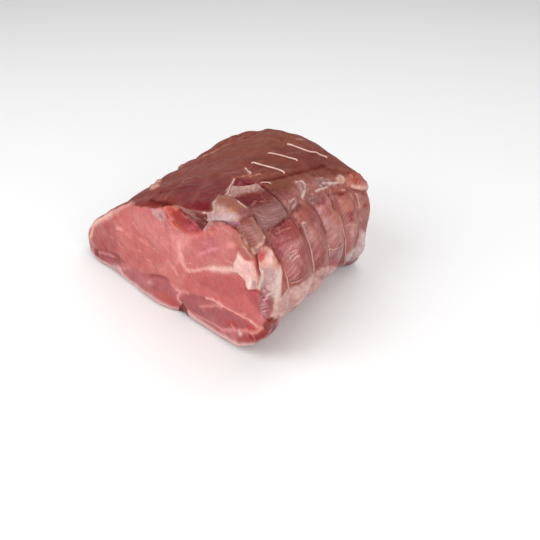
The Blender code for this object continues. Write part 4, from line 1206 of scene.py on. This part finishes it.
class Finish:
    """A material being built: it adds nodes and joins them up."""

    def __init__(self, name):
        self.material = bpy.data.materials.new(name)
        self.material.use_nodes = True
        self.tree = self.material.node_tree
        self.shader = self.tree.nodes["Principled BSDF"]

    def node(self, kind, settings=None, **inputs):
        made = self.tree.nodes.new("ShaderNode" + kind)
        for name, value in (settings or {}).items():
            setattr(made, name, value)
        for name, value in inputs.items():
            self.set(made.inputs[name.replace("_", " ")], value)
        return made

    def set(self, socket, value):
        """Links a node's output to the socket, or gives it a plain value."""
        if isinstance(value, bpy.types.NodeSocket):
            self.tree.links.new(value, socket)
        else:
            socket.default_value = value

    def surface(self, **values):
        """Sets the shader's own sockets."""
        for name, value in values.items():
            self.set(self.shader.inputs[name.replace("_", " ")], value)

    def attribute(self, name, output="Fac"):
        return self.node("Attribute", {"attribute_name": name}).outputs[output]

    def noise(self, place, scale, detail=3.0, roughness=0.6):
        made = self.node("TexNoise", Vector=place, Scale=scale, Detail=detail, Roughness=roughness)
        return made.outputs["Fac"]

    def spread(self, value, low, high, to_low=0.0, to_high=1.0):
        """The value stretched from one range to another, and kept within it."""
        made = self.node("MapRange", {"clamp": True})
        for index, number in enumerate((value, low, high, to_low, to_high)):
            self.set(made.inputs[index], number)
        return made.outputs["Result"]

    def maths(self, operation, a, b):
        made = self.node("Math", {"operation": operation})
        self.set(made.inputs[0], a)
        self.set(made.inputs[1], b)
        return made.outputs[0]

    def scaled(self, colour, share):
        made = self.node("VectorMath", {"operation": "SCALE"}, Vector=colour, Scale=share)
        return made.outputs["Vector"]

    def mix(self, share, a, b):
        made = self.node("Mix", {"data_type": "RGBA"})
        for index, value in ((0, share), (6, a), (7, b)):
            self.set(made.inputs[index], value)
        return made.outputs[2]

    def bump(self, height, strength, distance, under=None):
        made = self.node("Bump", Height=height, Strength=strength, Distance=distance)
        if under is not None:
            self.set(made.inputs["Normal"], under)
        return made.outputs["Normal"]


def rgb(colour):
    return (*linear(colour), 1.0)


MARBLING = (236, 170, 160)
PALE_THREAD_AND_HIGHLIGHT = (212, 166, 158)

raw = Finish("raw pork")
place = raw.node("TexCoord").outputs["Object"]
grain_at = raw.attribute("grain", "Vector")
dried = raw.attribute("dry")
lean = raw.maths("SUBTRACT", 1.0, raw.attribute("fat"))
fibres = raw.noise(grain_at, 0.9, 4.0, 0.65)
mottle = raw.noise(place, 260.0, 3.0, 0.55)
speckle = raw.noise(place, 1100.0, 2.0, 0.5)
marbling = raw.noise(grain_at, 0.4, 5.0, 0.75)
strength_of_fibres = raw.attribute("strands")

colour = raw.attribute("tint", "Color")
colour = raw.scaled(colour, raw.spread(mottle, 0.3, 0.7, 0.88, 1.12))
colour = raw.scaled(colour, raw.spread(speckle, 0.3, 0.7, 0.9, 1.1))
contrast = raw.maths("MULTIPLY", raw.maths("SUBTRACT", fibres, 0.5), strength_of_fibres)
colour = raw.scaled(colour, raw.maths("ADD", contrast, 1.0))
moist = raw.maths("SUBTRACT", lean, raw.maths("MULTIPLY", dried, 0.7))
specks = raw.maths("MULTIPLY", raw.spread(marbling, 0.6, 0.72), moist)
colour = raw.mix(raw.maths("MULTIPLY", specks, 0.2), colour, rgb(MARBLING))
waves = {"Vector": grain_at, "Scale": 0.19, "Distortion": 6.0, "Detail": 4.0, "Detail_Scale": 2.0}
bands = raw.node("TexWave", {"bands_direction": "Y"}, **waves).outputs["Fac"]
broken = raw.spread(raw.noise(place, 330.0, 3.0, 0.6), 0.36, 0.62)
# Pale threads along the grain, partly painted highlights.
pale = raw.maths("MULTIPLY", raw.spread(bands, 0.55, 0.95), raw.attribute("threads"))
colour = raw.mix(raw.maths("MULTIPLY", pale, broken), colour, rgb(PALE_THREAD_AND_HIGHLIGHT))

sheen = raw.spread(raw.noise(place, 160.0, 3.0, 0.6), 0.35, 0.65, 0.31, 0.55)
coarse = raw.bump(raw.maths("MULTIPLY", fibres, strength_of_fibres), 0.35, 0.0006)
raw.surface(
    Base_Color=colour,
    Roughness=raw.maths("ADD", sheen, raw.maths("MULTIPLY", dried, 0.2)),
    IOR=1.38,
    Specular_IOR_Level=raw.spread(dried, 0.0, 1.0, 0.5, 0.2),
    Coat_Weight=raw.spread(dried, 0.0, 1.0, 0.12, 0.02),
    Coat_Roughness=0.25,
    Subsurface_Weight=0.1,
    Subsurface_Radius=(1.0, 0.35, 0.25),
    Subsurface_Scale=0.002,
    Normal=raw.bump(speckle, 0.25, 0.0002, coarse),
)
meat.data.materials.clear()
meat.data.materials.append(raw.material)
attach(meat, "root")
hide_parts("roast")

# The twine
# Thin three-ply cotton, stained pink. It is pulled tight, so the meat closes over it in places,
# and only short runs show on top. It is wound round the roast by hand.
TWINE_RADIUS = 0.55
LOOSE_RADIUS = 0.38
PLIES = 3
PLY_DEPTH = 0.16
TWIST = 4.0
BEVEL_STEPS = 4
TWINE_STEP = 0.8
TWINE_MERGE = 1e-6
SHOWN_LIFT = 0.45
SUNK_DEPTH = 4.5
TUCKED = 0.7
PULL_REACH = 14.0
PULLS = 4
RUN_REACH = 1.2
TURNS_AWAY = (0.05, 0.2)
STAINED_BELOW = 72
LOOP_RUNS = {
    # each run that shows: how far its middle is lifted, and its marks
    "twine_loop_1": (
        (-0.35, (236.5, 203.5), (241, 207), (247, 212)),
        (-0.1, (283, 268), (286, 276), (288, 284), (288.5, 293)),
    ),
    "twine_loop_2": ((0.0, (303, 225), (306, 236), (310, 248), (312, 260), (313, 273)),),
    "twine_loop_3": ((0.45, (253, 162.5), (271, 169), (285, 172.8)), (0.0, (328.5, 245), (329.5, 256))),
    "twine_loop_4": (
        (0.45, (268, 153), (298, 161)),
        (0.1, (338, 215), (342, 225), (345, 238), (345, 252), (343, 264)),
    ),
    "twine_loop_5": (
        (0.45, (288, 145), (310, 152.5), (327, 157.5)),
        (0.2, (356, 193), (358, 200), (359, 208)),
    ),
}
SHORT_RUNS = {
    "twine_stitch_front": ((289, 283), (296, 281.5), (303, 278)),
    "twine_stitch_back": ((327.5, 250.5), (333, 249.5), (338, 247), (343, 243.5)),
    "twine_end_left": ((234, 179), (232, 184), (230, 189), (227, 194)),
    "twine_end_right": ((260, 185), (263, 183.5), (267.5, 183.3), (272, 185)),
    "twine_end_back": ((245, 169), (247.5, 171.5), (250, 175)),
}
surface = BVHTree.FromPolygons(
    [tuple(spot) for spot in places_of(meat)], [tuple(face.vertices) for face in meat.data.polygons]
)


def loop_line(name):
    """Points along the middle of a loop of twine, worked out from its solid."""
    corners = places_of(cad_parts[name])
    hub = corners.mean(axis=0)
    turn = np.arctan2(corners[:, 2] - hub[2], corners[:, 0] - hub[0])
    steps = np.linspace(-np.pi, np.pi, 91)[:-1]
    gaps = [np.abs((turn - step + np.pi) % (2 * np.pi) - np.pi) for step in steps]
    return np.array([corners[gap < max(0.05, np.sort(gap)[8])].mean(axis=0) for gap in gaps])


def pulled(route, run):
    """The route drawn over to a run of marks beside it, and how near it is to the run."""
    near = np.full(len(route), np.inf)
    target = route.copy()
    for a, b in zip(run, run[1:]):
        t = np.clip((route - a) @ (b - a) / ((b - a) @ (b - a)), 0, 1)
        spot = a + t[:, None] * (b - a)
        gap = np.linalg.norm(spot - route, axis=1)
        target = np.where((gap < near)[:, None], spot, target)
        near = np.minimum(near, gap)
    ahead = np.roll(route, -1, axis=0) - np.roll(route, 1, axis=0)
    ahead /= np.linalg.norm(ahead, axis=1)[:, None]
    aside = target - route
    aside -= ahead * (aside * ahead).sum(axis=1)[:, None]
    route = route + aside * ease(PULL_REACH - near, 0, 3)[:, None]
    return route, ease(RUN_REACH - from_route(route, run), 0, 0.8)


def evenly(route, closed):
    """The same line with points at even steps."""
    if closed:
        route = np.vstack([route, route[:1]])
    far = np.concatenate([[0], np.cumsum(np.linalg.norm(np.diff(route, axis=0), axis=1))])
    count = max(4, int(far[-1] / TWINE_STEP))
    marks = np.linspace(0, far[-1], count, endpoint=not closed)
    return np.stack([np.interp(marks, far, route[:, axis]) for axis in range(3)], axis=1)


def blurred(values, reach, closed=True):
    """The values smoothed along the line."""
    weights = np.hanning(2 * reach + 3)[1:-1]
    wide = np.pad(values, [(reach, reach)] + [(0, 0)] * (values.ndim - 1), "wrap" if closed else "edge")
    if values.ndim == 1:
        return np.convolve(wide, weights / weights.sum(), "valid")
    return np.stack([blurred(values[:, axis], reach, closed) for axis in range(values.shape[1])], axis=1)


def laid(route, lift):
    """The route moved onto the meat's surface and lifted off it, and which way is up."""
    found = [surface.find_nearest(Vector(point)) for point in route]
    up = np.array([hit[1] for hit in found])
    return np.array([hit[0] for hit in found]) + up * lift, up


def loop_route(name):
    """A loop's way round: on the meat where it shows, under its surface elsewhere. Also gives up."""
    route = blurred(evenly(loop_line(name), True), 3)
    shows = np.zeros(len(route))
    lift = np.full(len(route), SHOWN_LIFT)
    for run_lift, *run in LOOP_RUNS[name]:
        marks = np.array([on_meat(mark) for mark in run])
        for _ in range(PULLS):
            route, share = pulled(route, marks)
        lift = np.where(share > 0, run_lift, lift)
        shows = np.maximum(shows, share)
    route, up = laid(route, 0.0)
    turned_away = ease(-to_camera(route, blurred(up, 20)), *TURNS_AWAY)
    shows = blurred(np.maximum(shows, turned_away), 1)[:, None]
    inward = (route.mean(axis=0) - route) * (1, 0, 1)
    inward *= SUNK_DEPTH / np.linalg.norm(inward, axis=1)[:, None]
    sunk = blurred(route, 6) + inward
    lifted = route + up * blurred(lift, 2)[:, None]
    return blurred(sunk + (lifted - sunk) * shows, 1), up


def short_route(name):
    """A short run's way over the meat, with its ends tucked in. Also gives up."""
    route = evenly(np.array([on_meat(mark) for mark in SHORT_RUNS[name]]), False)
    route, up = laid(blurred(route, 2, False), SHOWN_LIFT)
    route = blurred(route, 2, False)
    for end in (0, -1):
        route[end] -= up[end] * TUCKED
    return route, up


def wind(piece, route, up, ahead):
    """Winds three plies round a plain tube: between them its surface is drawn in."""
    aside = np.cross(ahead, up)
    rise = np.cross(aside, ahead)
    aside /= np.linalg.norm(aside, axis=1)[:, None]
    rise /= np.linalg.norm(rise, axis=1)[:, None]
    corners = places_of(piece)
    near = np.array([np.argmin(((route - corner) ** 2).sum(axis=1)) for corner in corners])
    out = corners - route[near]
    turn = np.arctan2((out * rise[near]).sum(axis=1), (out * aside[near]).sum(axis=1))
    ply = np.abs(np.cos((turn + near * TWINE_STEP / TWIST * 2 * np.pi) * PLIES / 2))
    corners = route[near] + out * (1 - PLY_DEPTH + PLY_DEPTH * ply)[:, None]
    piece.data.vertices.foreach_set("co", ((corners - MIDDLE) * MM).reshape(-1))
    stained = piece.data.attributes.new("stained", "FLOAT", "POINT")
    stained.data.foreach_set("value", ease(STAINED_BELOW - corners[:, 2], 0, 10).astype(np.float32))


def tie(name):
    """Makes one cord of twine, in the place of its plain rod."""
    closed = name in LOOP_RUNS
    if closed:
        route, up = loop_route(name)
        ahead = np.roll(route, -1, axis=0) - np.roll(route, 1, axis=0)
    else:
        route, up = short_route(name)
        ahead = np.gradient(route, axis=0)

    tube = bpy.data.curves.new(name + "_cord", "CURVE")
    tube.dimensions = "3D"
    tube.bevel_depth = (TWINE_RADIUS if closed else LOOSE_RADIUS) * MM
    tube.bevel_resolution = BEVEL_STEPS
    tube.use_fill_caps = not closed
    middle = tube.splines.new("POLY")
    middle.points.add(len(route) - 1)
    middle.points.foreach_set("co", np.c_[(route - MIDDLE) * MM, np.ones(len(route))].reshape(-1))
    middle.use_cyclic_u = closed
    piece = bpy.data.objects.new(name + "_cord", tube)
    bpy.context.scene.collection.objects.link(piece)
    alone(piece)
    bpy.ops.object.convert(target="MESH")
    bpy.ops.object.mode_set(mode="EDIT")
    bpy.ops.mesh.select_all(action="SELECT")
    bpy.ops.mesh.remove_doubles(threshold=TWINE_MERGE)
    bpy.ops.mesh.normals_make_consistent(inside=False)
    bpy.ops.object.mode_set(mode="OBJECT")
    bpy.ops.object.shade_smooth()
    wind(piece, route, up, ahead)
    piece.data.materials.append(cotton.material)
    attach(piece, "root")
    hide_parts(name)


CLEAN = ((222, 190, 180), (204, 158, 150))
SOAKED = ((202, 158, 148), (172, 124, 118))

cotton = Finish("cotton twine")
place = cotton.node("TexCoord").outputs["Object"]
blotches = cotton.spread(cotton.noise(place, 120.0, 2.0, 0.5), 0.35, 0.65)
clean, soaked = [cotton.mix(blotches, *map(rgb, pair)) for pair in (CLEAN, SOAKED)]
thread = cotton.mix(cotton.attribute("stained"), clean, soaked)
fuzz = cotton.noise(place, 2500.0, 2.0, 0.6)
cotton.surface(
    Base_Color=cotton.scaled(thread, cotton.spread(fuzz, 0.3, 0.7, 0.85, 1.1)),
    Roughness=0.75,
    Specular_IOR_Level=0.3,
    Normal=cotton.bump(fuzz, 0.4, 0.0002),
)

for name in (*LOOP_RUNS, *SHORT_RUNS):
    tie(name)

# The floor, the light and the camera
# A plain pale floor under soft studio light, seen from above the right front corner.
FLOOR_SIZE = 6.0
FLOOR_COLOUR = (236, 236, 236)
SENSOR = 36.0
AIM = (0, 0, 0.04)
LIGHTS = (
    # name, place in metres, width in metres, watts
    ("key", (-0.25, -0.9, 0.85), 0.8, 7.8),
    ("side", (1.0, -0.35, 0.7), 0.9, 8.0),
    ("top", (0.0, 0.5, 1.3), 1.0, 5.0),
)
SKY_STRENGTH = 0.5

bpy.ops.object.select_all(action="DESELECT")
bpy.ops.mesh.primitive_plane_add(size=FLOOR_SIZE, location=(0, 0, 0))
floor = bpy.context.active_object
floor.name = "floor"
ground = Finish("pale floor")
ground.surface(Base_Color=rgb(FLOOR_COLOUR), Roughness=0.8)
floor.data.materials.append(ground.material)

for name, start, size, power in LIGHTS:
    lamp = bpy.data.lights.new(name, "AREA")
    lamp.shape = "SQUARE"
    lamp.size = size
    lamp.energy = power
    light = bpy.data.objects.new(name, lamp)
    turn = (Vector(AIM) - Vector(start)).to_track_quat("-Z", "Y").to_matrix().to_4x4()
    light.matrix_world = Matrix.Translation(start) @ turn
    bpy.context.scene.collection.objects.link(light)

world = bpy.data.worlds.new("studio")
bpy.context.scene.world = world
world.use_nodes = True
world.node_tree.nodes["Background"].inputs["Color"].default_value = (1, 1, 1, 1)
world.node_tree.nodes["Background"].inputs["Strength"].default_value = SKY_STRENGTH

lens = bpy.data.cameras.new("camera")
lens.sensor_width = SENSOR
lens.lens = FOCAL * SENSOR / PICTURE
camera = bpy.data.objects.new("camera", lens)
stand = Matrix.Translation(Vector((CAMERA_PLACE - MIDDLE) * MM))
camera.matrix_world = stand @ Matrix(CAMERA_TURN.tolist()).to_4x4()
bpy.context.scene.collection.objects.link(camera)
bpy.context.scene.camera = camera
bpy.context.scene.view_settings.view_transform = "Standard"
